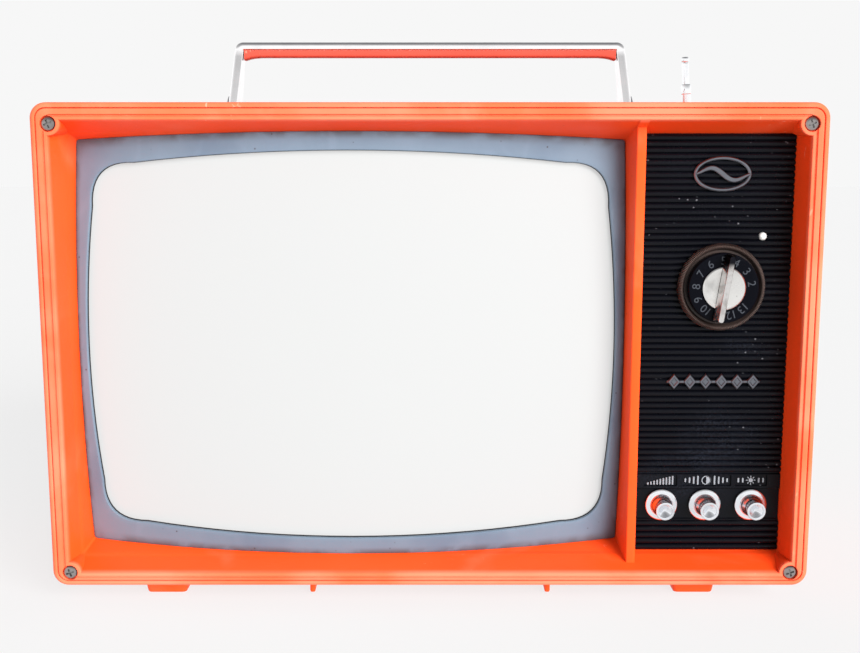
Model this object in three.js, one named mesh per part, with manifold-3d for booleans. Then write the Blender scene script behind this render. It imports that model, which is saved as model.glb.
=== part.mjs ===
// Portable television with a moulded orange cabinet, a 12 inch picture tube and a folding handle.
// Millimetres. +X is the viewer's right, +Y runs from the front to the back, +Z is up.
// The origin is the middle of the set on the surface that its feet stand on.

import * as THREE from 'three';
import { mergeVertices } from 'three/addons/utils/BufferGeometryUtils.js';
import Module from 'manifold-3d';

const wasm = await Module();
wasm.setup();

// Driving dimensions
const GAP = 0.3;                 // clearance between touching pieces
const WIDTH = 372.6;
const HEIGHT = 235;              // cabinet alone, without feet and handle
const FOOT_HEIGHT = 10;
const DEPTH = 265;               // front rim to the back of the neck cap
const SHELL_DEPTH = 170;
const SHELL_WALL = 2.5;
const CORNER_RADIUS = 7.5;
const FRONT = -DEPTH / 2;        // Y of the front rim
const FLOOR = FOOT_HEIGHT;       // Z of the cabinet's underside
const CEILING = FOOT_HEIGHT + HEIGHT;
const MIDDLE = FOOT_HEIGHT + HEIGHT / 2;

// Front bezel: a rim with walls that slope back to the picture and the controls
const RIM_SIDE = 8.0;            // width of the visible rim, cabinet lip included
const RIM_TOP = 8;
const RIM_BOTTOM = 6.4;
const RIM_THICK = 3.5;
const BEZEL_DEPTH = 32;
const BEZEL_WALL = 2.4;
const SLOPE_TOP = 0.331;         // inward travel of each recess wall per mm of depth
const SLOPE_BOTTOM = 0.33;
const SLOPE_LEFT = 0.2;
const SLOPE_RIGHT = 0.128;
const DIVIDER_LEFT = 97.8;       // fin between the picture and the controls
const DIVIDER_RIGHT = 102.4;
const DIVIDER_SETBACK = 8;
const DIVIDER_SLOPE = 0.12;
const GROOVE_INSET = 5.2;
const GROOVE_WIDTH = 1.2;
const GROOVE_DEPTH = 0.7;

// Corner screws of the front
const SCREW_X = 177.75;
const SCREW_TOP = 9.9;           // below the top of the cabinet
const SCREW_BOTTOM = 6.7;        // above the underside
const BOSS_RADIUS = 5.5;
const SCREW_HEAD_RADIUS = 3.3;

// Picture tube and its mask
const PICTURE_X = -39;
const PICTURE_Z = FLOOR + 116.5;
const OPENING_WIDTH = 261;
const OPENING_HEIGHT = 193;
const OPENING_CORNER = 19;
const OPENING_BULGE_X = 4;       // how far each side bows out at its middle
const OPENING_BULGE_Z = 6;
const FACE_DEPTH = 7;            // mask centre behind the rim
const FACE_DROP_X = 13;          // fall of the bowed face at the sides
const FACE_DROP_Z = 7;           // and at the top and bottom
const FACE_HALF_X = 135;
const FACE_HALF_Z = 103;
const MASK_THICK = 2.2;
const MASK_LIP = 2.2;
const GLASS_BEHIND = 3.4;        // glass behind the mask
const TUBE_HALF_X = 137;
const TUBE_HALF_Z = 103;
const SKIRT_END = 50;            // depth where the faceplate meets the funnel
const NECK_START = 152;
const NECK_RADIUS = 14.5;
const NECK_END = 240;

// Control panel
const PANEL_DEPTH = 18;
const PANEL_THICK = 3;
const PANEL_BOTTOM = FLOOR + 11;
const PANEL_TOP = FLOOR + 221.5;
const RIB_PITCH = 3;
const RIB_HEIGHT = 1.3;
const RIBS_FROM = FLOOR + 53;
const KNOB_X = [116.4, 138.3, 161.4];
const KNOB_Z = FLOOR + 36.4;
const TUNER_X = 142;
const TUNER_Z = FLOOR + 146.9;
const TUNER_RADIUS = 21.6;
const DIAL_RADIUS = 17.2;
const DIAL_DEPTH = 9.6;          // face of the numbered dial behind the rim
const CAP_RADIUS = 10.4;
const GRIP_TILT = 8.5;           // degrees, top of the grip towards +X
const PILOT_X = 161.8;
const PILOT_Z = FLOOR + 171.5;
const UPPER_BADGE = [140.9, FLOOR + 201.6];
const LOWER_BADGE = [140.2, FLOOR + 99.7];

// Handle
const HANDLE_SETBACK = 90;
const HANDLE_TOP = CEILING + 34.6;
const HANDLE_HALF_TOP = 104.25;
const HANDLE_SPLAY = 0.114;      // outward travel of a leg per mm of drop
const LEG_THICK = 4.9;
const LEG_DEPTH_TOP = 9;
const LEG_END_RADIUS = 11;
const BAR_HEIGHT = 3.9;
const PIVOT_DROP = 4;            // pivot below the top of the cabinet
const WELL_FRONT = 11.6;
const WELL_BACK = 34;
const WELL_DEPTH = 12;           // below the pivot

// Telescopic aerial
const AERIAL_X = 151.9;
const AERIAL_SETBACK = 150;
const AERIAL_LEAN = -3.8;        // degrees

const depthToY = (depth) => FRONT + depth;

// Colours
const ORANGE = { color: 0xf4562a, roughness: 0.42, metalness: 0 };
const ORANGE_RED = { color: 0xc8432c, roughness: 0.5, metalness: 0 };
const SILVER_PAINT = { color: 0xa2adbd, roughness: 0.5, metalness: 0.3 };
const RUBBER = { color: 0x151617, roughness: 0.8, metalness: 0 };
const SCREEN_GLASS = { color: 0xdfe3e4, roughness: 0.08, metalness: 0 };
const DARK_GLASS = { color: 0x2c3034, roughness: 0.3, metalness: 0 };
const STEEL = { color: 0x9a9da1, roughness: 0.45, metalness: 0.9 };
const CHROME = { color: 0xd9dde2, roughness: 0.12, metalness: 1 };
const BLACK = { color: 0x16161c, roughness: 0.4, metalness: 0 };
const BROWN_BLACK = { color: 0x2a1f1c, roughness: 0.5, metalness: 0 };
const DARK_GREY = { color: 0x2d2c2c, roughness: 0.6, metalness: 0 };
const COPPER = { color: 0x9c4a24, roughness: 0.4, metalness: 0.8 };
const BOARD = { color: 0x8a6a35, roughness: 0.6, metalness: 0 };
const WHITE = { color: 0xf2f2ee, roughness: 0.4, metalness: 0 };
const PAPER = { color: 0x25221f, roughness: 0.9, metalness: 0 };
const BLUE_CAN = { color: 0x2f4a78, roughness: 0.4, metalness: 0.2 };

// ---------- solids ----------

// A three.js geometry as a manifold solid, wound so that its faces point out.
function solid(geometry) {
  const bare = geometry.index ? geometry.toNonIndexed() : geometry.clone();
  bare.deleteAttribute('normal');
  bare.deleteAttribute('uv');
  const merged = mergeVertices(bare, 1e-4);
  const points = merged.attributes.position.array;
  const index = merged.index.array;
  const triangles = [];
  const corner = [new THREE.Vector3(), new THREE.Vector3(), new THREE.Vector3()];
  let volume = 0;
  for (let i = 0; i < index.length; i += 3) {
    const [a, b, c] = [index[i], index[i + 1], index[i + 2]];
    if (a === b || b === c || c === a) continue;
    triangles.push(a, b, c);
    [a, b, c].forEach((vertex, n) => corner[n].fromArray(points, 3 * vertex));
    volume += corner[0].dot(corner[1].clone().cross(corner[2]));
  }
  if (volume < 0) {
    for (let i = 0; i < triangles.length; i += 3) {
      [triangles[i], triangles[i + 1]] = [triangles[i + 1], triangles[i]];
    }
  }
  return new wasm.Manifold(new wasm.Mesh({
    numProp: 3,
    vertProperties: new Float32Array(points),
    triVerts: new Uint32Array(triangles),
  }));
}

function toGeometry(body) {
  const mesh = body.getMesh();
  const geometry = new THREE.BufferGeometry();
  geometry.setAttribute('position', new THREE.BufferAttribute(new Float32Array(mesh.vertProperties), 3));
  geometry.setIndex(new THREE.BufferAttribute(new Uint32Array(mesh.triVerts), 1));
  geometry.computeVertexNormals();
  return geometry;
}

const join = (first, ...others) => others.reduce((sum, other) => sum.add(other), first);
const cut = (first, ...others) => others.reduce((rest, other) => rest.subtract(other), first);

function piece(name, body, finish) {
  const mesh = new THREE.Mesh(toGeometry(body), new THREE.MeshStandardMaterial(finish));
  mesh.name = name;
  return mesh;
}

function placed(mesh, x, y, z) {
  mesh.position.set(x, y, z);
  return mesh;
}

// Box between two corners.
function block(x0, x1, y0, y1, z0, z1) {
  const box = new THREE.BoxGeometry(x1 - x0, y1 - y0, z1 - z0);
  box.translate((x0 + x1) / 2, (y0 + y1) / 2, (z0 + z1) / 2);
  return solid(box);
}

// Cylinder along X, Y or Z, from one value to another on that axis.
function rod(axis, radius, from, to, at = [0, 0], sides = 20) {
  const cylinder = new THREE.CylinderGeometry(radius, radius, to - from, sides);
  const middle = (from + to) / 2;
  if (axis === 'x') cylinder.rotateZ(Math.PI / 2).translate(middle, at[0], at[1]);
  if (axis === 'y') cylinder.translate(at[0], middle, at[1]);
  if (axis === 'z') cylinder.rotateX(Math.PI / 2).translate(at[0], at[1], middle);
  return solid(cylinder);
}

// Solid of revolution about the Y axis: the profile is a list of [radius, y], from axis to axis.
function turned(profile, sides = 24) {
  const points = profile.map(([radius, y]) => new THREE.Vector2(radius, y));
  return solid(new THREE.LatheGeometry(points, sides));
}

// Flat shape drawn in X and Z, extruded along Y.
function slab(shape, y0, y1, curveSegments = 6) {
  const extruded = new THREE.ExtrudeGeometry(shape, { depth: y1 - y0, bevelEnabled: false, curveSegments });
  extruded.rotateX(Math.PI / 2);
  extruded.translate(0, y1, 0);
  return solid(extruded);
}

// Box whose front and back rectangles differ: each is [left, right, bottom, top].
function taperedBlock(front, back, y0, y1) {
  const box = new THREE.BoxGeometry(1, 1, 1);
  const position = box.attributes.position;
  for (let i = 0; i < position.count; i += 1) {
    const rectangle = position.getY(i) < 0 ? front : back;
    const x = rectangle[position.getX(i) < 0 ? 0 : 1];
    const z = rectangle[position.getZ(i) < 0 ? 2 : 3];
    position.setXYZ(i, x, position.getY(i) < 0 ? y0 : y1, z);
  }
  return solid(box);
}

function roundedRectangle(cx, cz, width, height, radius) {
  const shape = new THREE.Shape();
  const [x0, x1, z0, z1] = [cx - width / 2, cx + width / 2, cz - height / 2, cz + height / 2];
  shape.moveTo(x0 + radius, z0);
  shape.lineTo(x1 - radius, z0);
  shape.absarc(x1 - radius, z0 + radius, radius, -Math.PI / 2, 0, false);
  shape.lineTo(x1, z1 - radius);
  shape.absarc(x1 - radius, z1 - radius, radius, 0, Math.PI / 2, false);
  shape.lineTo(x0 + radius, z1);
  shape.absarc(x0 + radius, z1 - radius, radius, Math.PI / 2, Math.PI, false);
  shape.lineTo(x0, z0 + radius);
  shape.absarc(x0 + radius, z0 + radius, radius, Math.PI, 1.5 * Math.PI, false);
  return shape;
}

// Outline of the picture opening, grown outwards by a margin.
function pictureOutline(margin) {
  const halfX = OPENING_WIDTH / 2 - OPENING_BULGE_X + margin;
  const halfZ = OPENING_HEIGHT / 2 - OPENING_BULGE_Z + margin;
  const radius = OPENING_CORNER + margin;
  const bowX = halfX + 2 * OPENING_BULGE_X;
  const bowZ = halfZ + 2 * OPENING_BULGE_Z;
  const shape = new THREE.Shape();
  const corner = [
    [1, -1], [1, 1], [-1, 1], [-1, -1],
  ];
  const at = (x, z) => [PICTURE_X + x, PICTURE_Z + z];
  shape.moveTo(...at(-halfX + radius, -halfZ));
  shape.quadraticCurveTo(...at(0, -bowZ), ...at(halfX - radius, -halfZ));
  for (const [sx, sz] of corner) {
    const horizontalFirst = sx * sz < 0;
    const end = horizontalFirst ? [sx * halfX, sz * (halfZ - radius)] : [sx * (halfX - radius), sz * halfZ];
    shape.quadraticCurveTo(...at(sx * (halfX + 1), sz * (halfZ + 1)), ...at(...end));
    if (sx === 1 && sz === -1) shape.quadraticCurveTo(...at(bowX, 0), ...at(halfX, halfZ - radius));
    if (sx === 1 && sz === 1) shape.quadraticCurveTo(...at(0, bowZ), ...at(-halfX + radius, halfZ));
    if (sx === -1 && sz === 1) shape.quadraticCurveTo(...at(-bowX, 0), ...at(-halfX, -halfZ + radius));
  }
  return shape;
}

// Depth of the bowed picture face behind the rim.
function faceDepth(x, z) {
  const u = (x - PICTURE_X) / FACE_HALF_X;
  const v = (z - PICTURE_Z) / FACE_HALF_Z;
  return FACE_DEPTH + FACE_DROP_X * u * u + FACE_DROP_Z * v * v;
}

// Plate bowed like the picture face, from one offset behind that face to another.
function bowedPlate(front, back, columns = 8, rows = 6) {
  const halfX = 150;
  const halfZ = 118;
  const box = new THREE.BoxGeometry(2 * halfX, 1, 2 * halfZ, columns, 1, rows);
  const position = box.attributes.position;
  for (let i = 0; i < position.count; i += 1) {
    const x = position.getX(i) + PICTURE_X;
    const z = position.getZ(i) + PICTURE_Z;
    const offset = position.getY(i) < 0 ? front : back;
    position.setXYZ(i, x, depthToY(faceDepth(x, z) + offset), z);
  }
  return solid(box);
}

// Loft along Y through superellipse sections {depth, halfX, halfZ, power} about the tube's axis.
function tubeLoft(sections, sides = 24) {
  const steps = sections.length - 1;
  const cylinder = new THREE.CylinderGeometry(1, 1, 1, sides, steps);
  const position = cylinder.attributes.position;
  for (let i = 0; i < position.count; i += 1) {
    const step = Math.round((position.getY(i) + 0.5) * steps);
    const { depth, halfX, halfZ, power } = sections[step];
    const angle = Math.atan2(position.getZ(i), position.getX(i));
    const [c, s] = [Math.cos(angle), Math.sin(angle)];
    const scale = (Math.abs(c / halfX) ** power + Math.abs(s / halfZ) ** power) ** (-1 / power);
    const radius = Math.hypot(position.getX(i), position.getZ(i)) < 0.5 ? 0 : scale;
    position.setXYZ(i, PICTURE_X + radius * c, depthToY(depth), PICTURE_Z + radius * s);
  }
  return solid(cylinder);
}

// ---------- cabinet ----------

function recessRectangle(depth, grow = 0) {
  return [
    -WIDTH / 2 + RIM_SIDE + SLOPE_LEFT * depth - grow,
    WIDTH / 2 - RIM_SIDE - SLOPE_RIGHT * depth + grow,
    FLOOR + RIM_BOTTOM + SLOPE_BOTTOM * depth - grow,
    CEILING - RIM_TOP - SLOPE_TOP * depth + grow,
  ];
}

function dividerRectangle(depth) {
  const left = DIVIDER_LEFT - DIVIDER_SLOPE * (depth - DIVIDER_SETBACK);
  return [left, DIVIDER_RIGHT, FLOOR, CEILING];
}

const screwPlaces = {
  top_left: [-SCREW_X, CEILING - SCREW_TOP],
  top_right: [SCREW_X, CEILING - SCREW_TOP],
  bottom_left: [-SCREW_X, FLOOR + SCREW_BOTTOM],
  bottom_right: [SCREW_X, FLOOR + SCREW_BOTTOM],
};

// Slanted bore of the aerial through the top of the cabinet, made upright and then leaned.
function aerialBore(radius, from, to) {
  const cylinder = new THREE.CylinderGeometry(radius, radius, to - from, 20);
  cylinder.rotateX(Math.PI / 2).translate(0, 0, (from + to) / 2);
  cylinder.rotateY(THREE.MathUtils.degToRad(AERIAL_LEAN));
  cylinder.translate(AERIAL_X, depthToY(AERIAL_SETBACK), CEILING);
  return solid(cylinder);
}

const pivotY = depthToY(HANDLE_SETBACK);
const pivotZ = CEILING - PIVOT_DROP;
const handleHalfAt = (z) => HANDLE_HALF_TOP + HANDLE_SPLAY * (HANDLE_TOP - z);

function handleWell(side, grow) {
  const inner = HANDLE_HALF_TOP - LEG_THICK - 0.1 - grow;
  const outer = handleHalfAt(pivotZ - LEG_END_RADIUS) + 0.6 + grow;
  const x = [side * inner, side * outer].sort((a, b) => a - b);
  const roof = grow > 0 ? CEILING - SHELL_WALL / 2 : CEILING + 1;
  return block(x[0], x[1], pivotY - WELL_FRONT - grow, pivotY + WELL_BACK + grow, pivotZ - WELL_DEPTH - grow, roof);
}

function foot(x, depth) {
  const top = [x - 11.5, x + 11.5, depthToY(depth), depthToY(depth + 16)];
  const box = new THREE.BoxGeometry(1, 1, 1);
  const position = box.attributes.position;
  for (let i = 0; i < position.count; i += 1) {
    const inset = position.getZ(i) < 0 ? 1.5 : 0;
    const px = position.getX(i) < 0 ? top[0] + inset : top[1] - inset;
    const py = position.getY(i) < 0 ? top[2] + inset : top[3] - inset;
    position.setXYZ(i, px, py, position.getZ(i) < 0 ? 0 : FLOOR + 1);
  }
  return solid(box);
}

function cabinetShell() {
  const outer = slab(roundedRectangle(0, MIDDLE, WIDTH, HEIGHT, CORNER_RADIUS), FRONT, depthToY(SHELL_DEPTH));
  const inner = slab(
    roundedRectangle(0, MIDDLE, WIDTH - 2 * SHELL_WALL, HEIGHT - 2 * SHELL_WALL, CORNER_RADIUS - SHELL_WALL),
    FRONT - 1,
    depthToY(SHELL_DEPTH) + 1,
  );
  let shell = cut(outer, inner);

  for (const [x, z] of Object.values(screwPlaces)) {
    const wallX = Math.sign(x) * (WIDTH / 2 - 1);
    const wallZ = z > MIDDLE ? CEILING - 1 : FLOOR + 1;
    const reachX = Math.sign(x) * (Math.abs(x) - 5);
    const reachZ = z > MIDDLE ? z - 5 : z + 5;
    const xs = [wallX, reachX].sort((a, b) => a - b);
    const zs = [wallZ, reachZ].sort((a, b) => a - b);
    const frontPillar = block(xs[0], xs[1], depthToY(BEZEL_DEPTH + GAP), depthToY(58), zs[0], zs[1]);
    const rearPillar = block(xs[0], xs[1], depthToY(138), depthToY(SHELL_DEPTH - 8), zs[0], zs[1]);
    const bore = rod('y', 1.9, FRONT, depthToY(SHELL_DEPTH), [x, z], 12);
    shell = cut(join(shell, frontPillar, rearPillar), bore);
  }

  for (const side of [-1, 1]) {
    shell = cut(join(shell, handleWell(side, 1.5)), handleWell(side, 0));
    const [near, far] = [side * 90, side * 120].sort((a, b) => a - b);
    shell = cut(shell, rod('x', 2.3, near, far, [pivotY, pivotZ], 16));
    const rib = block(side * 59.5 - 1.35, side * 59.5 + 1.35, depthToY(14), depthToY(156), 1, FLOOR + 1);
    shell = join(shell, rib, foot(side * 134, 15), foot(side * 134, 139));
  }

  shell = cut(shell, aerialBore(4, -20, 10));
  for (let slot = 0; slot < 9; slot += 1) {
    const z = 52 + slot * 7;
    const half = Math.sqrt(38 ** 2 - (z - 80) ** 2);
    shell = cut(shell, block(WIDTH / 2 - 5, WIDTH / 2 + 5, depthToY(115 - half), depthToY(115 + half), z, z + 3));
  }
  return piece('cabinet_shell', shell, ORANGE);
}

function frontBezel() {
  const edge = SHELL_WALL + GAP;
  const rim = slab(
    roundedRectangle(0, MIDDLE, WIDTH - 2 * edge, HEIGHT - 2 * edge, CORNER_RADIUS - edge),
    FRONT,
    depthToY(RIM_THICK),
  );
  const walls = taperedBlock(
    recessRectangle(1, BEZEL_WALL),
    recessRectangle(BEZEL_DEPTH, BEZEL_WALL),
    depthToY(1),
    depthToY(BEZEL_DEPTH),
  );
  let bezel = join(rim, walls);

  const recess = taperedBlock(recessRectangle(-1), recessRectangle(60), depthToY(-1), depthToY(60));
  const divider = taperedBlock(
    dividerRectangle(DIVIDER_SETBACK),
    dividerRectangle(BEZEL_DEPTH),
    depthToY(DIVIDER_SETBACK),
    depthToY(BEZEL_DEPTH),
  );
  bezel = cut(bezel, cut(recess, divider));

  const grooveOuter = roundedRectangle(0, MIDDLE, WIDTH - 2 * GROOVE_INSET, HEIGHT - 2 * GROOVE_INSET, 4);
  const inset = GROOVE_INSET + GROOVE_WIDTH;
  const grooveInner = roundedRectangle(0, MIDDLE, WIDTH - 2 * inset, HEIGHT - 2 * inset, 3);
  const groove = cut(
    slab(grooveOuter, FRONT - 1, depthToY(GROOVE_DEPTH), 3),
    slab(grooveInner, FRONT - 2, depthToY(GROOVE_DEPTH + 1), 3),
  );
  bezel = cut(bezel, groove);

  const glassOutline = roundedRectangle(PICTURE_X, PICTURE_Z, 2 * TUBE_HALF_X + 2, 2 * TUBE_HALF_Z + 2, 25);
  const glassRoom = slab(glassOutline, FRONT, depthToY(SKIRT_END), 4).intersect(bowedPlate(GLASS_BEHIND - 0.5, 60));
  bezel = cut(bezel, glassRoom);

  const envelope = slab(
    roundedRectangle(0, MIDDLE, WIDTH - 2 * edge, HEIGHT - 2 * edge, CORNER_RADIUS - edge),
    FRONT,
    depthToY(BEZEL_DEPTH),
  );
  for (const place of Object.values(screwPlaces)) {
    const boss = rod('y', BOSS_RADIUS, FRONT, depthToY(BEZEL_DEPTH), place, 20).intersect(envelope);
    const bore = rod('y', 1.9, FRONT - 1, depthToY(BEZEL_DEPTH + 1), place, 12);
    const seat = rod('y', SCREW_HEAD_RADIUS + 0.4, FRONT - 1, depthToY(2.4), place, 16);
    bezel = cut(join(bezel, boss), bore, seat);
  }
  return piece('front_bezel', bezel, ORANGE);
}

// ---------- picture tube ----------

function screenRecess(depth, shrink) {
  const [left, , bottom, top] = recessRectangle(depth, -shrink);
  return [left, dividerRectangle(depth)[0] - shrink, bottom, top];
}

function screenMask() {
  const blank = bowedPlate(0, MASK_THICK);
  const limit = taperedBlock(screenRecess(2, GAP), screenRecess(50, GAP), depthToY(2), depthToY(50));
  let mask = blank.intersect(limit);
  const lip = slab(pictureOutline(2), depthToY(2), depthToY(50)).intersect(bowedPlate(0.5, MASK_LIP));
  mask = cut(join(mask, lip), slab(pictureOutline(0), depthToY(0), depthToY(60)));
  for (const place of Object.values(screwPlaces)) {
    mask = cut(mask, rod('y', BOSS_RADIUS + GAP, FRONT, depthToY(50), place, 20));
  }
  return piece('screen_mask', mask, SILVER_PAINT);
}

function screenGasket() {
  const ring = cut(
    slab(pictureOutline(2.4), depthToY(2), depthToY(50), 4),
    slab(pictureOutline(-1), depthToY(0), depthToY(60), 4),
  );
  return piece('screen_gasket', ring.intersect(bowedPlate(MASK_LIP + GAP, GLASS_BEHIND - GAP)), RUBBER);
}

function faceplate() {
  const outline = roundedRectangle(PICTURE_X, PICTURE_Z, 2 * TUBE_HALF_X, 2 * TUBE_HALF_Z, 24);
  const hollow = roundedRectangle(PICTURE_X, PICTURE_Z, 2 * TUBE_HALF_X - 16, 2 * TUBE_HALF_Z - 16, 18);
  const face = slab(outline, depthToY(5), depthToY(SKIRT_END), 4).intersect(bowedPlate(GLASS_BEHIND, GLASS_BEHIND + 9));
  const skirt = cut(
    slab(outline, depthToY(5), depthToY(SKIRT_END), 4),
    slab(hollow, depthToY(4), depthToY(SKIRT_END + 1), 3),
  ).intersect(bowedPlate(GLASS_BEHIND, 60));
  return piece('crt_faceplate', join(face, skirt), SCREEN_GLASS);
}

function rimband() {
  const grow = 2 * (GAP + 1.4);
  const outer = roundedRectangle(PICTURE_X, PICTURE_Z, 2 * TUBE_HALF_X + grow, 2 * TUBE_HALF_Z + grow, 25);
  const inner = roundedRectangle(PICTURE_X, PICTURE_Z, 2 * TUBE_HALF_X + 2 * GAP, 2 * TUBE_HALF_Z + 2 * GAP, 24);
  const lugReach = 8;
  let band = slab(outer, depthToY(39), depthToY(48), 3);
  for (const [sx, sz] of [[-1, -1], [-1, 1], [1, -1], [1, 1]]) {
    const x = PICTURE_X + sx * (TUBE_HALF_X - 8);
    const z = PICTURE_Z + sz * (TUBE_HALF_Z - 8);
    const xs = [x, x + sx * lugReach].sort((a, b) => a - b);
    const zs = [z, z + sz * lugReach].sort((a, b) => a - b);
    const lug = block(xs[0], xs[1], depthToY(41), depthToY(43), zs[0], zs[1]);
    band = cut(join(band, lug), rod('y', 1.8, depthToY(30), depthToY(60), [x + sx * 6, z + sz * 6], 10));
  }
  return piece('crt_rimband', cut(band, slab(inner, depthToY(30), depthToY(60), 3)), STEEL);
}

function funnelSections(shrink, from, to) {
  const steps = 6;
  const sections = [];
  for (let i = 0; i <= steps; i += 1) {
    const t = i / steps;
    const swell = (1 - t) ** 0.8;
    sections.push({
      depth: from + (NECK_START - from) * t,
      halfX: NECK_RADIUS - shrink + (TUBE_HALF_X - NECK_RADIUS) * swell,
      halfZ: NECK_RADIUS - shrink + (TUBE_HALF_Z - NECK_RADIUS) * swell,
      power: 2 + 5 * (1 - t) ** 1.5,
    });
  }
  sections.push({ depth: to, halfX: NECK_RADIUS - shrink, halfZ: NECK_RADIUS - shrink, power: 2 });
  return sections;
}

function funnel() {
  const outside = tubeLoft(funnelSections(0, SKIRT_END + GAP, NECK_END));
  const inside = tubeLoft(funnelSections(4, SKIRT_END - 1, NECK_END - 4));
  return piece('crt_funnel', cut(outside, inside), DARK_GLASS);
}

// Round pieces on the tube's axis, made about the Y axis and then moved to it.
function onTubeAxis(mesh) {
  return placed(mesh, PICTURE_X, 0, PICTURE_Z);
}

function deflectionYoke() {
  const bore = NECK_RADIUS + GAP + 0.5;
  const [front, back] = [depthToY(NECK_START + 2), depthToY(NECK_START + 38)];
  const profile = [
    [bore, front], [40, front], [44, front + 4], [44, front + 9], [34, front + 14],
    [32, back - 6], [36, back - 5], [36, back], [bore, back], [bore, front],
  ];
  return onTubeAxis(piece('deflection_yoke', turned(profile, 18), COPPER));
}

function socketBoard() {
  const start = depthToY(NECK_END + GAP);
  const socket = turned([[0, start], [13, start], [13, start + 9], [0, start + 9]], 16);
  const board = block(-30, 30, start + 5, start + 7, -24, 30);
  return onTubeAxis(piece('crt_socket_board', join(socket, board), BOARD));
}

// ---------- control panel ----------

// Cross-section of the panel in Y and Z, with ribs above and below the smooth strip of the small knobs.
function panelShape() {
  const shape = new THREE.Shape();
  const face = depthToY(PANEL_DEPTH);
  const back = face + PANEL_THICK;
  shape.moveTo(back, PANEL_BOTTOM);
  shape.lineTo(face, PANEL_BOTTOM);
  const addRibs = (from, to) => {
    for (let z = from; z + RIB_PITCH <= to; z += RIB_PITCH) {
      shape.lineTo(face, z + 0.4);
      shape.lineTo(face - RIB_HEIGHT, z + RIB_PITCH / 2);
      shape.lineTo(face, z + RIB_PITCH - 0.4);
    }
  };
  addRibs(PANEL_BOTTOM, FLOOR + 28);
  addRibs(RIBS_FROM, PANEL_TOP);
  shape.lineTo(face, PANEL_TOP);
  shape.lineTo(back, PANEL_TOP);
  return shape;
}

function panelRecess(depth) {
  const [, right, bottom, top] = recessRectangle(depth, -GAP);
  return [DIVIDER_RIGHT + GAP, right, bottom, top];
}

function controlPanel() {
  const extruded = new THREE.ExtrudeGeometry(panelShape(), { depth: 80, bevelEnabled: false });
  const turn = new THREE.Matrix4().makeBasis(
    new THREE.Vector3(0, 1, 0),
    new THREE.Vector3(0, 0, 1),
    new THREE.Vector3(1, 0, 0),
  );
  extruded.applyMatrix4(turn).translate(DIVIDER_RIGHT, 0, 0);
  const limit = taperedBlock(panelRecess(10), panelRecess(30), depthToY(10), depthToY(30));
  let panel = solid(extruded).intersect(limit);
  for (const x of KNOB_X) {
    panel = cut(panel, rod('y', 5, depthToY(10), depthToY(30), [x, KNOB_Z], 16));
  }
  panel = cut(panel, rod('y', 5.4, depthToY(10), depthToY(30), [TUNER_X, TUNER_Z], 16));
  panel = cut(panel, rod('y', 2.3, depthToY(10), depthToY(30), [PILOT_X, PILOT_Z], 12));
  for (const place of [screwPlaces.top_right, screwPlaces.bottom_right]) {
    panel = cut(panel, rod('y', BOSS_RADIUS + GAP, FRONT, depthToY(50), place, 20));
  }
  return piece('control_panel', panel, BLACK);
}

// Raised ornament: an oval ring crossed by a wave-shaped bar.
function upperBadge() {
  const ring = new THREE.Shape();
  ring.absellipse(0, 0, 14, 8.5, 0, 2 * Math.PI, false);
  const hole = new THREE.Path();
  hole.absellipse(0, 0, 12.2, 6.9, 0, 2 * Math.PI, true);
  ring.holes.push(hole);
  const wave = new THREE.Shape();
  wave.moveTo(-13.2, -3);
  wave.bezierCurveTo(-4, 9, 4, -9, 13.2, 1.4);
  wave.lineTo(13.2, 3);
  wave.bezierCurveTo(4, -6.4, -4, 11.6, -13.2, -1);
  const y = depthToY(PANEL_DEPTH) - RIB_HEIGHT;
  const badge = join(slab(ring, y - 1.6, y - GAP, 10), slab(wave, y - 1.9, y - GAP, 8));
  return placed(piece('upper_badge', badge, CHROME), UPPER_BADGE[0], 0, UPPER_BADGE[1]);
}

// Raised ornament: a row of lozenges on a thin rail.
function lowerBadge() {
  const y = depthToY(PANEL_DEPTH) - RIB_HEIGHT;
  let badge = block(-23, 23, y - 1.1, y - GAP, -0.7, 0.7);
  for (let i = 0; i < 6; i += 1) {
    const x = -19.5 + 7.8 * i;
    const lozenge = new THREE.Shape();
    lozenge.moveTo(x - 3.3, 0);
    lozenge.lineTo(x, -4);
    lozenge.lineTo(x + 3.3, 0);
    lozenge.lineTo(x, 4);
    badge = join(badge, slab(lozenge, y - 1.5, y - GAP));
  }
  return placed(piece('lower_badge', badge, BLACK), LOWER_BADGE[0], 0, LOWER_BADGE[1]);
}

function pilotLens() {
  const face = depthToY(PANEL_DEPTH);
  const profile = [[0, face - 2.2], [1.3, face - 2], [1.95, face - 1.4], [1.95, face + 2.5], [0, face + 2.5]];
  return placed(piece('pilot_lens', turned(profile, 12), WHITE), PILOT_X, 0, PILOT_Z);
}

// ---------- tuning controls: all are made about the Y axis and moved to the tuner's axis ----------

function onTunerAxis(mesh) {
  return placed(mesh, TUNER_X, 0, TUNER_Z);
}

// Low knurled ring with a dished face around the dial.
function fineTuningRing() {
  const web = depthToY(15.2);
  const back = depthToY(16.4);
  const profile = [
    [3.4, back], [3.4, web], [18.4, web], [20, depthToY(12.4)], [20.6, depthToY(12.4)], [TUNER_RADIUS, depthToY(15.6)],
    [TUNER_RADIUS, back], [3.4, back],
  ];
  return onTunerAxis(piece('fine_tuning_ring', turned(profile, 30), BROWN_BLACK));
}

function fineTuningSleeve() {
  const profile = [
    [3.4, depthToY(16.7)], [4.9, depthToY(16.7)], [4.9, depthToY(44)], [3.4, depthToY(44)], [3.4, depthToY(16.7)],
  ];
  return onTunerAxis(piece('fine_tuning_sleeve', turned(profile, 16), STEEL));
}

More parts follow.
